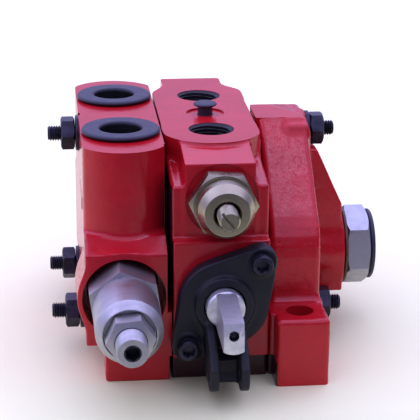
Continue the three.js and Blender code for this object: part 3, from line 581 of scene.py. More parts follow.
def studio_floor():
    """A pale floor with painted shade well in front of the object, where its front faces see it."""
    look = Look("pale_floor", Roughness=0.6)
    tone = look.blend(look.noise(90, 3), (0.90, 0.91, 0.55), (0.94, 0.95, 0.58))
    # Painted shade on the floor in front of the object.
    near = look.span(look.split(look.place)[1], -0.38, -0.125)
    look.bump(look.noise(3, 2), 0.02)
    look.set(Base_Color=look.blend(near, (0.15, 0.15, 0.12), tone))
    return look.material


RED_SMOOTH = enamel("red_enamel_inlet", 0.030, 0.0)
# The working and end castings get painted shade low down, under the working section's pad.
RED_WORK = enamel("red_enamel_working", 0.030, 0.37, shade_left_of=60, working=True)
RED_CAST = enamel("red_enamel_end", 0.075, 0.71, shade_left_of=26.2)
ZINC_RELIEF = machined(
    "zinc_relief", (0.49, 0.49, 0.49), 0.42, RELIEF_AXIS, 1, metal=0.85, hole=(4.0, -146.8))
ZINC_SPOOL = machined(
    "zinc_spool", (0.84, 0.84, 0.86), 0.42, SPOOL_AXIS, 1, metal=0.8,
    marks=0.008, spots=0.5, hole=(2.6, -131.8))
ZINC_PLUG = machined("zinc_plug", (0.46, 0.48, 0.51), 0.36, PLUG_AXIS, 0, metal=0.8, spots=0.5)
STEEL_PORT = machined(
    "steel_port_relief", (0.38, 0.36, 0.25), 0.30, PORT_RELIEF_AXIS, 1, (0.36, 0.30, 0.25))
STEEL_INNER = machined("steel_inner", (0.56, 0.55, 0.54), 0.32, SPOOL_AXIS, 1)
STEEL_SPRING = machined("spring_steel", (0.34, 0.34, 0.36), 0.36, SPOOL_AXIS, 1, (0.16, 0.16, 0.18))
# Bare steel whose colour is darkened to near black: painted shade inside the ports.
STEEL_THREAD = machined(
    "port_thread_steel", (0.05, 0.045, 0.055), 0.42, (0, 0, 0), 2, (0.015, 0.015, 0.02), 0.6)
BLACK_STEEL = blackened(
    "black_oxide", (0.024, 0.023, 0.036), 0.30, 0.8, 0.012, 0.5, (0.09, 0.085, 0.14))
BLACK_IRON = blackened(
    "black_iron", (0.008, 0.008, 0.014), 0.50, 1.1, 0.035, 0.0, (0.018, 0.018, 0.028))
PLASTIC = 0.46, 0.5, 0.010, 0.0, (0.05, 0.05, 0.085)
BLACK_PLASTIC = blackened("black_plastic", (0.030, 0.030, 0.052), *PLASTIC)
CAP_PLASTIC = blackened(
    "black_cap_plastic", (0.036, 0.036, 0.062), *PLASTIC, deep=HEIGHT + 1.5)
RUBBER = blackened("rubber", (0.02, 0.02, 0.022), 0.7, 0.4, 0.02, 0.0, (0.03, 0.03, 0.03))
SEAL_WASHER = blackened("seal_washer", (0.12, 0.075, 0.05), 0.5, 0.7, 0.02, 0.5, (0.22, 0.15, 0.10))


# ---- inlet section ----
def inlet_casting():
    f = Field((-70, -84, -3), (-20, 80, 116))
    front, back = -81.5, 77.1
    side = [(front, 0), (back, 0), (back, 64.6), (back - 12, 70), (front + 12, 70), (front, 64.6)]
    lower = raised(outline_distance(side, f.y, f.z, 0.8), f.x, INLET_LEFT, -10, 1.0)
    lower = bite(lower, rounded_box(f, (-90, -100, -20), (-55.3, 100, 18.7), 1.5), 1.5)
    lower = bite(lower, rounded_box(f, (-90, -62.5, -20), (0, 58.1, 6), 2.5), 1.0)
    reach = np.clip(f.y, INLET_MID_Y - 46, INLET_MID_Y + 46)
    capsule = np.hypot(f.x - INLET_X, f.y - reach) - 22.8
    left = np.abs(f.x - INLET_X - 10) - 29.7
    tower = raised(-melt(-capsule, -left, 1.6), f.z, 50, OVER, 0.2)
    shape = melt(lower, tower, 2.2)
    for rod in (RODS["front"], RODS["rear"]):
        shape = melt(shape, round_bar(f, "x", rod, 9.2, INLET_LEFT, -10, 0.8), 4.0)
    shape = np.maximum(shape, INLET_LEFT - f.x)
    eye = round_bar(f, "y", (RELIEF_X, AXIS_Z), 22.4, front, front + 32, 1.0)
    shape = np.maximum(melt(shape, eye, 3.0), front - f.y)
    casting_mark = rounded_box(f, (-64.75, -52, 78), (-60, -22, 84), 0.5)
    shape = melt(shape, casting_mark, 1.2)
    shape = shape + waves(f, 3, 9.0, 0.10) + waves(f, 4, 3.0, 0.035)
    cutters = [
        block((-80, -90, HEIGHT), (-10, 90, OVER)),
        # The joint face: a gap shows at the front, and closes low down.
        block((-24.9, -58, -10), (-10, 90, OVER)),
        block((-25.5, -90, 35), (-10, -57, OVER)),
        block((-23.4, -90, 11), (-10, -57, 36)),
        block((-24.6, -90, -10), (-10, -57, 12.5)),
        block((-80, -90, -10), (-10, 90, 0)),
        bore(20, RELIEF_X, AXIS_Z, -90, -63),
        bore(14.1, RELIEF_X, AXIS_Z, -66, -38),
    ]
    for y in INLET_PORTS.values():
        cutters.append(drill(13, (INLET_X, y, HEIGHT - 16), (INLET_X, y, HEIGHT + 5)))
    cutters += [drill(10, (-80, y, z), (INLET_LEFT + 0.9, y, z), 64) for y, z in RODS.values()]
    made = combine(f.solid(shape), cutters + rod_holes(-80, -10))
    dress(made, "inlet_casting", RED_SMOOTH, ["inlet_section"])


inlet_casting()


# ---- working section ----
def working_casting():
    f = Field((-27, -88, -3), (27, 82, 116))
    boss = melt(*(np.hypot(f.x, f.y - y) - 25.0 for y in PORTS.values()), 5.0)
    flanks = np.abs(f.x + 0.55) - 23.8
    boss = melt(boss, np.maximum(np.abs(f.y) - PORTS["a"], flanks), 2.0)
    boss = raised(-melt(-boss, -flanks, 1.6), f.z, AXIS_Z, OVER, 0.2)
    tab = rounded_box(f, (-17.4, 20, AXIS_Z), (14.5, 69, OVER), 2.0)
    side = [(-78.2, 55), (-20, 55), (-20, HEIGHT - 1.0), (-52, HEIGHT - 1.2), (-78.2, HEIGHT - 4)]
    upper = raised(outline_distance(side, f.y, f.z, 0.8), f.x, -17.2, 16.6, 0.9)
    end = [(-78, 12.5), (78, 12.5), (78, 96.5), (30, 102.9), (-30, 102.9), (-78, 96.5)]
    body = raised(outline_distance(end, f.y, f.z, 1.6), f.x, -23.2, 23, 1.6)
    shape = melt(body, upper, 3.0)
    pad = rounded_box(f, (-22.9, -84.5, 12.2), (23.1, 10, 71.3), 0.8)
    shape = melt(shape, pad, 1.6)
    base = rounded_box(f, (-23.4, -79, -20), (23.2, 76, 15), 1.0)
    shape = np.maximum(melt(shape, base, 1.5), np.abs(f.x + 0.05) - 23.15)
    shape = melt(shape, melt(boss, tab, 5.0), 2.4)
    shape = shape + waves(f, 11, 9.0, 0.09) + waves(f, 12, 3.0, 0.03)
    for half_length, bottom, top in ((57, 4, 88), (37, 8, 107)):  # the joint faces
        mating = rounded_box(f, (-24.6, -half_length, bottom), (24.2, half_length, top), 1.2)
        shape = np.minimum(shape, mating)
    spotface = [(13.5, 0), (17.4, 0), (17.4, 6), (13.5, 6)]
    cutters = [
        block((-40, -100, HEIGHT), (40, 100, OVER)),
        block((-40, -100, -10), (40, 100, 0)),
        bore(10, WORK_X, AXIS_Z, -90, 90),
        bore(17, WORK_X, AXIS_Z, 70, 90),
        bore(9.8, WORK_X, PORT_RELIEF_Z, -90, -52),
        tube(spotface, (WORK_X, -77.6, PORT_RELIEF_Z), FRONT, 128, 0.02),
        drill(9.6, (0, STUB_Y, HEIGHT - 0.8), (0, STUB_Y, HEIGHT + 3)),
        drill(4, (0, STUB_Y, HEIGHT - 4), (0, STUB_Y, HEIGHT + 3), 48),
    ]
    for y in PORTS.values():
        cutters.append(drill(PORT_RADIUS + 0.75, (0, y, HEIGHT - 16.8), (0, y, HEIGHT + 5)))
        cutters.append(drill(3.8, (0, y, AXIS_Z + 8), (0, y, HEIGHT - 15), 48))
    made = combine(f.solid(shape), cutters + rod_holes(-40, 40))
    dress(made, "working_casting", RED_WORK, ["working_section"])


working_casting()


def threads(radius, pitch, depth, length, sides, caps, steps=8):
    """Rings of a screw's surface about its axis, from 0 to length, with both ends chamfered."""
    heights = np.arange(0, length + 1e-6, pitch / steps)
    turn = around(sides)
    phase = (heights[:, None] / pitch - turn[None, :] / (2 * math.pi)) % 1.0
    groove = np.clip((1 - np.abs(2 * phase - 1) - 0.14) / 0.72, 0, 1)
    first, last = heights - caps[0], length - heights - caps[1]
    ends = np.minimum(first, last) + radius - depth * 0.3
    r = np.minimum(radius - depth * (1 - groove), ends[:, None])
    rings = np.zeros((heights.size, sides, 3))
    rings[..., 0], rings[..., 1] = r * np.cos(turn), r * np.sin(turn)
    rings[..., 2] = heights[:, None]
    return rings


NO_CAP = -9  # leaves an end of a thread without a chamfer


def port_thread(name, y):
    """The bare threaded wall of a working port, with its lead-in chamfer."""
    depth, sides, pitch, minor, wall, flare = 16.3, 96, 1.814, 9.35, 0.7, 8
    rings = threads(PORT_RADIUS, pitch, PORT_RADIUS - minor, depth, sides, (NO_CAP, NO_CAP), 10)
    for ring, share in zip(rings[-flare:], np.linspace(0, 1, flare)):
        radius = np.hypot(ring[:, 0], ring[:, 1])
        grown = np.maximum(radius, minor + (PORT_RADIUS + 0.5 - minor) * share)
        ring[:, :2] *= (grown / radius)[:, None]
    rings[-1, :, 2] = depth
    outer = turned([(PORT_RADIUS + wall, depth), (PORT_RADIUS + wall, 0)], sides)
    made = looped(np.concatenate([rings, outer]), (0, y, HEIGHT - 0.15 - depth), Z)
    dress(made, name, STEEL_THREAD, angle=50)


for letter, port_y in PORTS.items():
    port_thread("port_thread_" + letter, port_y)


# ---- end section ----
def end_casting():
    f = Field((20, -97, -3), (74, 95, 116))
    shoulder = [(-59.5, 74.0), (-63.2, 70.25), (-65.9, 66.0), (-67.5, 61.25), (-68, 56)]
    rear_shoulder = [(2 * END_MID_Y - y, z) for y, z in shoulder[::-1]]
    profile = [(-68, 8), (65.6, 8), *rear_shoulder, (11.6, HEIGHT), (-14, HEIGHT), *shoulder]
    shape = raised(outline_distance(profile, f.y, f.z, 4.0), f.x, END_LEFT, 50.2, 2.6)
    for low_y in (-94.0, 63.6):
        foot = rounded_box(f, (END_LEFT - 0.2, low_y, -20), (51.3, low_y + 28, 33.5), 2.2)
        shape = melt(shape, foot, 5.0)
    toe = rounded_box(f, (23.6, -84.3, 12.2), (40, -60, 33.5), 0.8)
    under = rounded_box(f, (23.6, -79, -20), (40, -60, 14), 0.8)
    shape = np.minimum(shape, np.minimum(toe, under))
    shape = bite(shape, rounded_box(f, (0, -64, -20), (90, 61.6, 6), 2.0), 1.0)
    wedge_side = [(40, 19), (70.5, 19), (68.8, 66.5), (49.6, 108.5), (40, 108.5)]
    wedge = raised(outline_distance(wedge_side, f.x, f.z, 1.2), f.y, -20, 14, 1.2)
    wedge = melt(wedge, round_bar(f, "x", PLUG_AXIS[1:], 20.5, 45, PLUG_FACE, 0.8), 3.0)
    for rod, room in (("front", 10.6), ("rear", 10.6), ("top", 11.4)):
        wedge = bite(wedge, round_bar(f, "x", RODS[rod], room, 51, 90, 0.5), 1.0)
    wedge = bite(wedge, rounded_box(f, (51, -40, 95.75), (90, 40, OVER), 0.5), 1.0)
    shape = melt(shape, wedge, 4.0)
    for rod in RODS.values():
        shape = melt(shape, round_bar(f, "x", rod, 9.6, 30, 51, 0.6), 2.0)
    shape = shape + waves(f, 21, 9.0, 0.12) + waves(f, 22, 2.6, 0.07)
    joint_faces = (((-52, 8), (50, 62)), ((-18, 8), (16, 106)), ((-14, 60), (11.6, OVER)))
    for low, high in joint_faces:
        shape = np.minimum(shape, rounded_box(f, (24.5, *low), (40, *high), 1.2))
    cutters = [
        block((0, -110, HEIGHT), (90, 110, OVER)),
        block((0, -110, -20), (90, 110, 0)),
        block((PLUG_FACE, -110, -20), (90, 110, OVER)),
        drill(15.3, (38, *PLUG_AXIS[1:]), (80, *PLUG_AXIS[1:])),
    ]
    for y in (-80.5, 78.1):  # the fixing bolts
        cutters.append(drill(6.6, (38.4, y, -10), (38.4, y, 45)))
    made = combine(f.solid(shape), cutters + rod_holes(0, 90))
    dress(made, "end_casting", RED_CAST, ["end_section"])


end_casting()


# ---- plugs and caps ----
# Each is a moulded brim with a rolled edge; the port caps are hollow.
PORT_CAP = [
    (0, -12), (11.7, -12, 0.6), (12.6, -10.8, 0.6), (12.6, GAP, 0.3), (18.5, GAP, 0.3),
    (19.2, 0.8, 0.5), (19.2, 1.8, 0.7), (18.3, 2.65, 0.9), (11.3, 2.62, 0.6), (10.6, 2.2, 0.5),
    (10.2, 1.2, 0.5), (9.9, -10.4, 0.5), (0, -10.6),
]
STUB = [
    (0, -3.6), (3.4, -3.6, 0.3), (3.7, -3.2, 0.2), (3.7, 3.6, 0.4), (5.4, 3.9, 0.3),
    (6.0, 4.4, 0.4), (6.0, 4.9, 0.5), (4.7, 5.55, 0.8), (0, 5.7),
]


def moulded(node, profile, centre, direction=Z, sides=128, material=BLACK_PLASTIC):
    """A plug or cap that pulls out by hand, so it is a body of its own."""
    made = lathe(profile, centre, direction, sides)
    dress(made, node + "_moulded", material, [node], node, 40)


for side_name, cap_y in INLET_PORTS.items():
    moulded("port_cap_" + side_name, PORT_CAP, (INLET_X, cap_y, HEIGHT), material=CAP_PLASTIC)
moulded("stub_plug", STUB, (0, STUB_Y, HEIGHT), sides=72)

SEAL_THICK = 1.5
HEX_START = PLUG_FACE + SEAL_THICK + 2 * GAP
HEX_END = HEX_START + 11.7


def gallery_plug():
    turn = hex_turn("gallery_plug", PLUG_AXIS, X, HEX_START - 1, HEX_START + 3)
    dome = [
        (0, HEX_START - 1), (19.0, HEX_START - 1), (19.0, HEX_START), (21.6, HEX_START + 1.3),
        (21.6, HEX_END - 2.2), (18.0, HEX_END), (0, HEX_END),
    ]
    body = prism(hexagon(36, turn), PLUG_AXIS, X, HEX_START, HEX_END)
    body = common(body, lathe(dome, PLUG_AXIS, X, 192, 0.05))
    shank = [
        (0, 44), (14.2, 44, 0.5), (14.8, 45, 0.4), (14.8, HEX_START + 0.5), (0, HEX_START + 0.5)
    ]
    body = join(body, lathe(shank, PLUG_AXIS, X))
    centre = PLUG_AXIS[1:]
    combine(body, [drill(12, (HEX_END - 4, *centre), (HEX_END + 2, *centre))])
    soften(body, 0.22)
    dress(body, "gallery_plug_turned", ZINC_PLUG, ["gallery_plug"])


gallery_plug()
SEAL = [(15.2, 0), (20.0, 0), (20.2, 0.3), (20.2, 1.2), (20.0, SEAL_THICK), (15.2, SEAL_THICK)]
seal = tube(SEAL, (PLUG_FACE + GAP, *PLUG_AXIS[1:]), X, 128, 0.15)
dress(seal, "gallery_plug_washer", SEAL_WASHER, ["gallery_plug_seal"])
PLUG_CAP = [
    (0, -3.4), (11.3, -3.4, 0.4), (11.6, -3.0, 0.3), (11.6, GAP, 0.3), (17.6, GAP, 0.3),
    (18.2, 0.8, 0.4), (18.2, 2.0, 0.5), (17.3, 2.7, 0.6), (15.2, 2.7, 0.2), (14.9, 2.35, 0.2),
    (0, 2.3),
]
moulded("gallery_plug_cap", PLUG_CAP, (HEX_END, *PLUG_AXIS[1:]), X)

# ---- tie rods, nuts and washers ----
ROD_LEFT, ROD_RIGHT, ROD_RADIUS, ROD_PITCH = -79.8, 66.3, 3.9, 1.25
FACES = {"left": (-63.4, -1), "right": (51.0, 1)}
WASHER_THICK, NUT_THICK = 2.2, 7
WASHER = [(4.2, 0), (8.75, 0), (9.0, 0.3), (9.0, 1.8), (8.6, WASHER_THICK), (4.2, WASHER_THICK)]


def tie_rod(name, y, z):
    """A rod with cut threads at both ends and a plain middle."""
    length, threaded, fade = 21.0, 20.0, 1.5
    left = threads(ROD_RADIUS, ROD_PITCH, 0.72, length, 40, (0.7, NO_CAP))
    right = left[::-1].copy()
    right[..., 2] = ROD_RIGHT - ROD_LEFT - right[..., 2]
    for rings in (left, right):
        distance = np.minimum(rings[..., 2], ROD_RIGHT - ROD_LEFT - rings[..., 2])
        radius = np.hypot(rings[..., 0], rings[..., 1])
        share = np.clip((distance - threaded + fade) / fade, 0, 1)
        grown = radius + (ROD_RADIUS - 0.1 - radius) * share
        rings[..., :2] *= (grown / radius)[..., None]
    rings = np.concatenate([left, right])
    made = capped(rings, (0, ROD_RIGHT - ROD_LEFT), (ROD_LEFT, y, z), X)
    node = "tie_rod_" + name
    dress(made, "tie_rod_threaded_" + name, BLACK_STEEL, [node], angle=55)


def tie_nut(name, side, y, z):
    face, outward = FACES[side]
    direction = X * outward
    label = name + "_" + side
    washer = tube(WASHER, (face + outward * GAP, y, z), direction, 72, 0.2)
    dress(washer, "tie_washer_turned_" + label, BLACK_STEEL, ["tie_washer_" + label])
    start = (face + outward * (2 * GAP + WASHER_THICK), y, z)
    chamfers = (7.1, 1.15), 9.2, (7.1, 1.15)
    nut = hex_body("tie_nut_" + label, 15, start, direction, 0, NUT_THICK, chamfers)
    lead = [(0, 6.2), (4.1, 6.2), (4.9, 7.1), (0, 7.1)]
    near, far = (Vector(start) + direction * reach for reach in (-2, 9))
    combine(nut, [drill(4.15, near, far, 48), lathe(lead, start, direction, 48, 0.02)])
    soften(nut, 0.18)
    dress(nut, "tie_nut_forged_" + label, BLACK_STEEL, ["tie_nut_" + label])


for rod_name, (rod_y, rod_z) in RODS.items():
    tie_rod(rod_name, rod_y, rod_z)
    for side_name in FACES:
        tie_nut(rod_name, side_name, rod_y, rod_z)

# ---- main relief valve; its heights run forwards from the middle of the valve ----
SOCKET_TURN = 0.68


def main_relief():
    at = RELIEF_AXIS
    chamfers = (16.5, 1.2), 18.8, (15.4, 0.6)
    head = hex_body("main_relief_body", 32, at, FRONT, 66, 93.5, chamfers, 192, 0.5)
    barrel = [
        (0, 90), (15.4, 90), (15.4, 94.3, 0.4), (15.7, 94.9, 0.3), (15.7, 122.0, 0.35),
        (12.9, 126.2, 0.3), (12.5, 126.5, 0.2), (0, 126.5),
    ]
    shank = [(0, 42), (13.2, 42, 0.4), (13.7, 43, 0.3), (13.7, 68), (0, 68)]
    body = join(head, lathe(barrel, at, FRONT, 192), lathe(shank, at, FRONT))
    recess = [
        (0, 124.2), (11.9, 124.2, 0.4), (12.15, 124.6, 0.2), (12.15, 126), (12.4, 127), (0, 127)
    ]
    pin_x, pin_y = RELIEF_X - 2.5, -94.6
    combine(body, [
        lathe(recess, at, FRONT, 144, 0.1),
        bore(7.5, RELIEF_X, AXIS_Z, -127, -112, 72),
        bore(9.3, RELIEF_X, AXIS_Z, -113, -49, 72),
        bore(6, RELIEF_X, AXIS_Z, -50, -41, 48),
        drill(0.75, (pin_x, pin_y, AXIS_Z + 10), (pin_x, pin_y, AXIS_Z + 20), 24),
    ])
    soften(body, 0.2)
    dress(body, "main_relief_turned", ZINC_RELIEF, ["main_relief_body"])

    start = (RELIEF_X, -124.5, AXIS_Z)
    chamfers = (10.5, 0.8), 12, (7.9, 1.2)
    nut = hex_body("main_relief_lock_nut", 20, start, FRONT, 0, 10.6, chamfers, 144, 0.35)
    combine(nut, [bore(7.45, RELIEF_X, AXIS_Z, -137, -120, 72)])
    soften(nut, 0.2)
    dress(nut, "main_relief_lock_nut_forged", ZINC_RELIEF, ["main_relief_lock_nut"])

    back = (RELIEF_X, -104.3, AXIS_Z)
    collar = turned([(8.4, 0.0), (8.6, 0.3), (8.6, 3.8), (6.6, 4.4)], 72)
    rings = threads(7.2, 1.5, 0.5, 37.9, 72, (NO_CAP, 0.45))
    rings[..., 2] += 4.6
    screw = capped(np.concatenate([collar, rings]), (0, 42.5), back, FRONT)
    combine(screw, [prism(hexagon(6.2, SOCKET_TURN, 0.1), at, FRONT, 140.3, 150)])
    node = "main_relief_screw"
    dress(screw, node + "_cut", ZINC_RELIEF, [node], node, 40)


main_relief()

# ---- port relief valve ----
SLOT_TURN = 0.87


def port_relief():
    at = PORT_RELIEF_AXIS
    back, front = 80.1, 101.5
    chamfers = (14.7, 1.1), 16.9, (14.4, 1.5)
    head = hex_body("port_relief_body", 29, at, FRONT, back, back + 7.4, chamfers, 192, 0.4)
    nose = [
        (0, back + 5), (11.4, back + 5), (11.4, back + 8.2, 0.1), (13.0, back + 8.5, 0.1),
        (13.4, back + 8.9, 0.2), (13.4, back + 16, 0.2), (10.7, front - 0.2, 0.2),
        (10.4, front, 0.1), (0, front),
    ]
    shank = [(0, 55), (9.0, 55, 0.3), (9.5, 56, 0.3), (9.5, back + 1), (0, back + 1)]
    body = join(head, lathe(nose, at, FRONT, 192), lathe(shank, at, FRONT))
    mouth = [(0, front - 0.9), (5.85, front - 0.9), (6.9, front + 0.3), (0, front + 0.3)]
    combine(body, [
        bore(5.9, WORK_X, PORT_RELIEF_Z, -108, -74, 72),
        bore(7, WORK_X, PORT_RELIEF_Z, -88, -54, 72),
        lathe(mouth, at, FRONT, 72, 0.02),
    ])
    soften(body, 0.2)
    dress(body, "port_relief_turned", STEEL_PORT, ["port_relief_body"])

    start = (WORK_X, -84, PORT_RELIEF_Z)
    collar = turned([(6.4, 0.0), (6.6, 0.2), (6.6, 1.2), (4.3, 1.6)], 72)
    rings = threads(5.0, 1.0, 0.5, 24.9, 72, (NO_CAP, 0.4))
    rings[..., 2] += 1.7
    cone = turned([(4.7, 26.9), (4.2, 27.5), (4.0, 27.6)], 72)
    screw = capped(np.concatenate([collar, rings, cone]), (0, 27.6), start, FRONT)
    slot = block((-8, -2.5, -0.7), (8, 2.5, 0.7))
    slot.data.transform(Matrix.Rotation(SLOT_TURN, 4, "Y"))
    slot.data.transform(Matrix.Translation(Vector((WORK_X, -112.1, PORT_RELIEF_Z)) * MM))
    combine(screw, [slot])
    node = "port_relief_screw"
    dress(screw, node + "_slotted", STEEL_PORT, [node], node, 25)

    ring = [(10, 0), (13.0, 0), (13.2, 0.3), (13.2, 1.2), (13.0, 1.5), (10, 1.5)]
    ring = tube(ring, (WORK_X, -78.3, PORT_RELIEF_Z), FRONT, 96, 0.15)
    dress(ring, "port_relief_washer", SEAL_WASHER, ["port_relief_seal"])


port_relief()


# ---- spool, lever bracket and their screws ----
def spool():
    at = SPOOL_AXIS
    profile = [(0, -100.0), (8.3, -100.0, 0.2), (9.2, -99.2, 0.3)]
    for low, high in ((-62, -50), (-25, -13), (13, 25), (50, 62)):
        profile += [(9.2, low, 0.2), (6.2, low + 2, 0.5), (6.2, high - 2, 0.5), (9.2, high, 0.2)]
    profile += [(9.2, 83.3, 0.3), (8.5, 84.0, 0.2), (0, 84.0)]
    tongue = [(0, -132), (8.5, -132, 0.4), (9.0, -131.4, 0.4), (9.0, -98), (0, -98)]
    side = [(-140, 0), (-90, 0), (-90, AXIS_Z + 9.2), (-132, AXIS_Z + 5.8), (-140, AXIS_Z + 5.2)]
    flats = prism(side, (0, 0, 0), X, WORK_X - 4.75, WORK_X + 4.75)
    body = join(lathe(profile, at, Y, 144), common(lathe(tongue, at, Y, 144), flats))
    facet = [
        (-133, AXIS_Z + 0.4), (-132, AXIS_Z + 0.4), (-130.2, AXIS_Z + 7), (-133, AXIS_Z + 7)
    ]
    centre = [(0, -134), (3.2, -134), (1.95, -131.2), (1.75, -128.2), (0, -127.2)]
    combine(body, [
        prism(facet, (0, 0, 0), X, WORK_X - 6, WORK_X + 6),
        bore(4.3, WORK_X, AXIS_Z, 64, 90, 48),
        lathe(centre, at, Y, 48, 0.02),
    ])
    soften(body, 0.3, 3)
    dress(body, "spool_ground", ZINC_SPOOL, ["spool"], body="spool")


spool()

SCREWS = {"upper": (WORK_X + 17.25, AXIS_Z + 20.75), "lower": (WORK_X - 17.25, AXIS_Z - 20.75)}
FLANGE_FRONT, FLANGE_BACK = -92.8, -84.8
FLANGE_RADIUS, LOBE_RADIUS = 21.5, 7.6
EYE_Y, EYE_Z, EYE_RADIUS = -113.0, 15.0, 7


def oval(a, b):
    """Flat distance to the oval flange: a disc and two lobes, joined by straight sides."""
    best = np.inf
    for x, z in SCREWS.values():
        way = np.array((x - WORK_X, z - AXIS_Z))
        reach = np.linalg.norm(way)
        way = way / reach
        run = (a - WORK_X) * way[0] + (b - AXIS_Z) * way[1]
        off = np.abs((b - AXIS_Z) * way[0] - (a - WORK_X) * way[1])
        lean = (FLANGE_RADIUS - LOBE_RADIUS) / reach
        level = math.sqrt(1 - lean * lean)
        side = run * level - off * lean
        one = off * level + run * lean - FLANGE_RADIUS
        one = np.where(side < 0, np.hypot(off, run) - FLANGE_RADIUS, one)
        one = np.where(side > level * reach, np.hypot(off, run - reach) - LOBE_RADIUS, one)
        best = np.minimum(best, one)
    return best


def lever_bracket():
    f = Field((-30, -121.5, 5), (31, -83, 77))
    shape = raised(oval(f.x, f.z), f.y, FLANGE_FRONT, FLANGE_BACK, 1.0)
    axis = (WORK_X, AXIS_Z)
    shape = melt(shape, round_bar(f, "y", axis, 14.0, FLANGE_FRONT - 2.4, FLANGE_BACK, 0.9), 2.5)
    for place in SCREWS.values():
        rim = round_bar(f, "y", place, 6.9, FLANGE_FRONT - 0.7, FLANGE_BACK, 0.4)
        shape = melt(shape, rim, 1.2)
    side = [
        (-84, 36), (FLANGE_FRONT, 36), (EYE_Y - 1, EYE_Z + 12), (EYE_Y - EYE_RADIUS, EYE_Z + 5),
        (EYE_Y - EYE_RADIUS, EYE_Z), (EYE_Y, EYE_Z - EYE_RADIUS), (-84, 10),
    ]
    eye = np.hypot(f.y - EYE_Y, f.z - EYE_Z) - EYE_RADIUS
    flat = np.minimum(outline_distance(side, f.y, f.z, 1.0), eye)
    for low, high in ((WORK_X - 9.3, WORK_X - 5.0), (WORK_X + 5.0, WORK_X + 9.3)):
        shape = melt(shape, raised(flat, f.x, low, high, 0.9), 2.2)
    bridge = rounded_box(f, (WORK_X - 6, -107, 8.8), (WORK_X + 6, -84, 20), 0.6)
    bridge = bite(bridge, round_bar(f, "x", (EYE_Y, EYE_Z), 8.0, -40, 40, 0.1), 0.8)
    shape = melt(shape, bridge, 1.6)
    shape = shape + waves(f, 31, 7.0, 0.12) + waves(f, 32, 2.2, 0.06)
    cutters = [
        block((-40, FLANGE_BACK, -10), (40, -70, 100)),
        bore(10.1, WORK_X, AXIS_Z, -125, -80),
        drill(3, (-20, EYE_Y, EYE_Z), (20, EYE_Y, EYE_Z), 48),
    ]
    for place in SCREWS.values():
        cutters.append(bore(3.4, *place, -125, -80, 48))
        cutters.append(bore(6.2, *place, -110, FLANGE_FRONT - 0.05, 64))
    made = combine(f.solid(shape), cutters)
    dress(made, "lever_bracket_cast", BLACK_IRON, ["lever_bracket"], angle=35)


lever_bracket()


def cap_screw(name, place, face, direction):
    """A socket screw with a knurled head."""
    at = (place[0], face, place[1])
    sides, ridges, depth = 144, 36, 0.14
    line = [(0, GAP), (4.7, GAP), (5.0, 0.7), (5.0, 5.5, 0.3), (4.55, 6.2, 0.3), (0, 6.3)]
    line = rounded(line)
    profile = []
    for (r0, h0), (r1, h1) in zip(line[:-1], line[1:]):
        steps = 6 if abs(h1 - h0) > 3 else 1
        for t in np.arange(steps) / steps:
            profile.append((r0 + (r1 - r0) * t, h0 + (h1 - h0) * t))
    profile = [p for p in profile if p[0] > 0.01]
    rings = turned(profile, sides)
    for ring, (r, h) in zip(rings, profile):
        if 1.2 < h < 5.0 and r > 4.9:
            knurl = depth * (0.5 - 0.5 * np.cos(around(sides) * ridges))
            ring[:, :2] *= (1 - knurl / r)[:, None]
    head = capped(rings, (GAP, 6.3), at, direction)
    shank = [(0, -18), (2.5, -18, 0.2), (2.9, -17.5, 0.2), (2.9, 1), (0, 1)]
    screw = join(head, lathe(shank, at, direction, 48))
    lead = [(0, 5.7), (2.6, 5.7), (3.2, 6.5), (0, 6.5)]
    socket = prism(hexagon(5, 0.35, 0.1), at, direction, 3, 9)
    combine(screw, [socket, lathe(lead, at, direction, 36, 0.02)])
    dress(screw, name + "_knurled", BLACK_STEEL, [name], angle=40)


COVER_BACK, COVER_FACE, COVER_END = 78.3, 85.3, 137.0
for which, screw_place in SCREWS.items():
    cap_screw("bracket_screw_" + which, screw_place, FLANGE_FRONT, FRONT)
    cap_screw("cover_screw_" + which, screw_place, COVER_FACE, Y)


# ---- spring cover at the back ----
def spring_cover():
    f = Field((-30, 76, 8), (31, 140, 77))
    disc = np.hypot(f.x - WORK_X, f.z - AXIS_Z) - FLANGE_RADIUS
    shape = raised(disc, f.y, COVER_BACK, COVER_FACE, 1.0)
    for place in SCREWS.values():
        shape = melt(shape, round_bar(f, "y", place, 8.6, COVER_BACK, COVER_FACE, 1.0), 5.0)
    shape = melt(shape, round_bar(f, "y", (WORK_X, AXIS_Z), 20.0, 60, COVER_END, 3.0), 3.0)
    for place in SCREWS.values():
        shape = bite(shape, round_bar(f, "y", place, 6.0, COVER_FACE, COVER_END + 10, 0.2), 1.0)
    shape = shape + waves(f, 41, 7.0, 0.10) + waves(f, 42, 2.2, 0.05)
    cutters = [
        block((-40, 60, -10), (40, COVER_BACK, 100)),
        block((-40, COVER_END - 0.02, -10), (40, 160, 100)),
        bore(17, WORK_X, AXIS_Z, 70, 133),
    ]
    cutters += [bore(3.4, *place, 70, 100, 48) for place in SCREWS.values()]
    made = combine(f.solid(shape), cutters)
    dress(made, "spring_cover_cast", BLACK_IRON, ["spring_cover"], angle=35)


spring_cover()

# ---- inner pieces that keep their CAD shape ----
INNER = [
    (STEEL_INNER, "main_relief_seat main_relief_poppet port_relief_seat port_relief_poppet"),
    (STEEL_INNER, "spring_seat_front spring_seat_rear"),
    (STEEL_SPRING, "main_relief_spring port_relief_spring centring_spring"),
    (BLACK_STEEL, "spool_end_screw"),
    (RUBBER, "main_relief_seal spool_seal_front spool_seal_rear"),
    (RUBBER, "pressure_seal_left pressure_seal_right tank_seal_left tank_seal_right"),
]
for inner_look, node_names in INNER:
    for node in node_names.split():
        for slot_of_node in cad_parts[node].material_slots:
            slot_of_node.material = inner_look

# ---- floor, light and camera ----
FLOOR = [(-4000, -4000, -0.05), (4000, -4000, -0.05), (4000, 6000, -0.05), (-4000, 6000, -0.05)]
floor = object_of(FLOOR, [(0, 1, 2, 3)])
floor.name = "floor"
floor.data.materials.append(studio_floor())

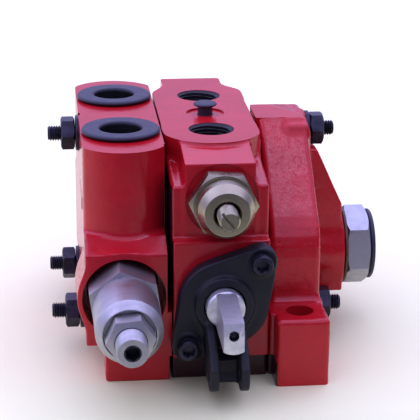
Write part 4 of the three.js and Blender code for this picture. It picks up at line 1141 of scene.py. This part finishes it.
scene = bpy.context.scene
scene.view_settings.view_transform = "Standard"
scene.view_settings.look = "None"
scene.view_settings.exposure = 0.56
scene.view_settings.gamma = 0.87


def world_light():
    """A soft studio: a bright ceiling and back wall, a lit left side and a dimmer front."""
    scene.world = bpy.data.worlds.new("studio")
    nodes = Nodes(scene.world)
    parts = nodes.split(nodes.node("ShaderNodeTexCoord").outputs["Generated"])
    level = 0.10
    patches = (
        (parts[2], 0.2, 0.75, 1.12),
        (parts[1], 0.0, 0.8, 0.52),
        (nodes.times(parts[0], -1.0), 0.2, 0.9, 0.45),
    )
    for way, low, high, amount in patches:
        patch = nodes.span(way, low, high, 0.0, amount, interpolation_type="SMOOTHSTEP")
        level = nodes.plus(level, patch)
    inputs = {"Color": (0.68, 0.67, 1.14), "Strength": level}
    light = nodes.node("ShaderNodeBackground", inputs).outputs[0]
    nodes.node("ShaderNodeOutputWorld", {"Surface": light})


world_light()
LAMP_AT, LAMP_TARGET = Vector((203, -118, 1200)), Vector((38, -20, 105))
lamp_data = bpy.data.lights.new("ceiling", "AREA")
lamp_data.shape = "RECTANGLE"
lamp_data.size, lamp_data.size_y = 80 * MM, 50 * MM
lamp_data.energy = 0.3
lamp_data.color = (0.70, 0.68, 1.0)
lamp = bpy.data.objects.new("ceiling", lamp_data)
scene.collection.objects.link(lamp)
lamp.location = LAMP_AT * MM
lamp.rotation_euler = (LAMP_TARGET - LAMP_AT).to_track_quat("-Z", "Y").to_euler()

# The camera was fitted to the photo: its place, its turns and its focal length in pixels.
EYE = Vector((-85.75, -832.01, 339.45))
TURN, TILT, ROLL = math.radians(6.1), math.radians(18.56), math.radians(0.45)
FOCAL_PIXELS, IMAGE_PIXELS, SENSOR = 1700, 420, 36.0
ahead = Vector((math.cos(TILT) * math.sin(TURN), math.cos(TILT) * math.cos(TURN), -math.sin(TILT)))
level_right = Vector((math.cos(TURN), -math.sin(TURN), 0))
level_up = level_right.cross(ahead)
right = level_right * math.cos(ROLL) + level_up * math.sin(ROLL)
up = level_up * math.cos(ROLL) - level_right * math.sin(ROLL)
camera_data = bpy.data.cameras.new("camera")
camera_data.sensor_width = SENSOR
camera_data.lens = FOCAL_PIXELS / IMAGE_PIXELS * SENSOR
camera_data.clip_end = 50
camera = bpy.data.objects.new("camera", camera_data)
scene.collection.objects.link(camera)
camera.matrix_world = Matrix([right, up, -ahead]).transposed().to_4x4()
camera.matrix_world.translation = EYE * MM
scene.camera = camera
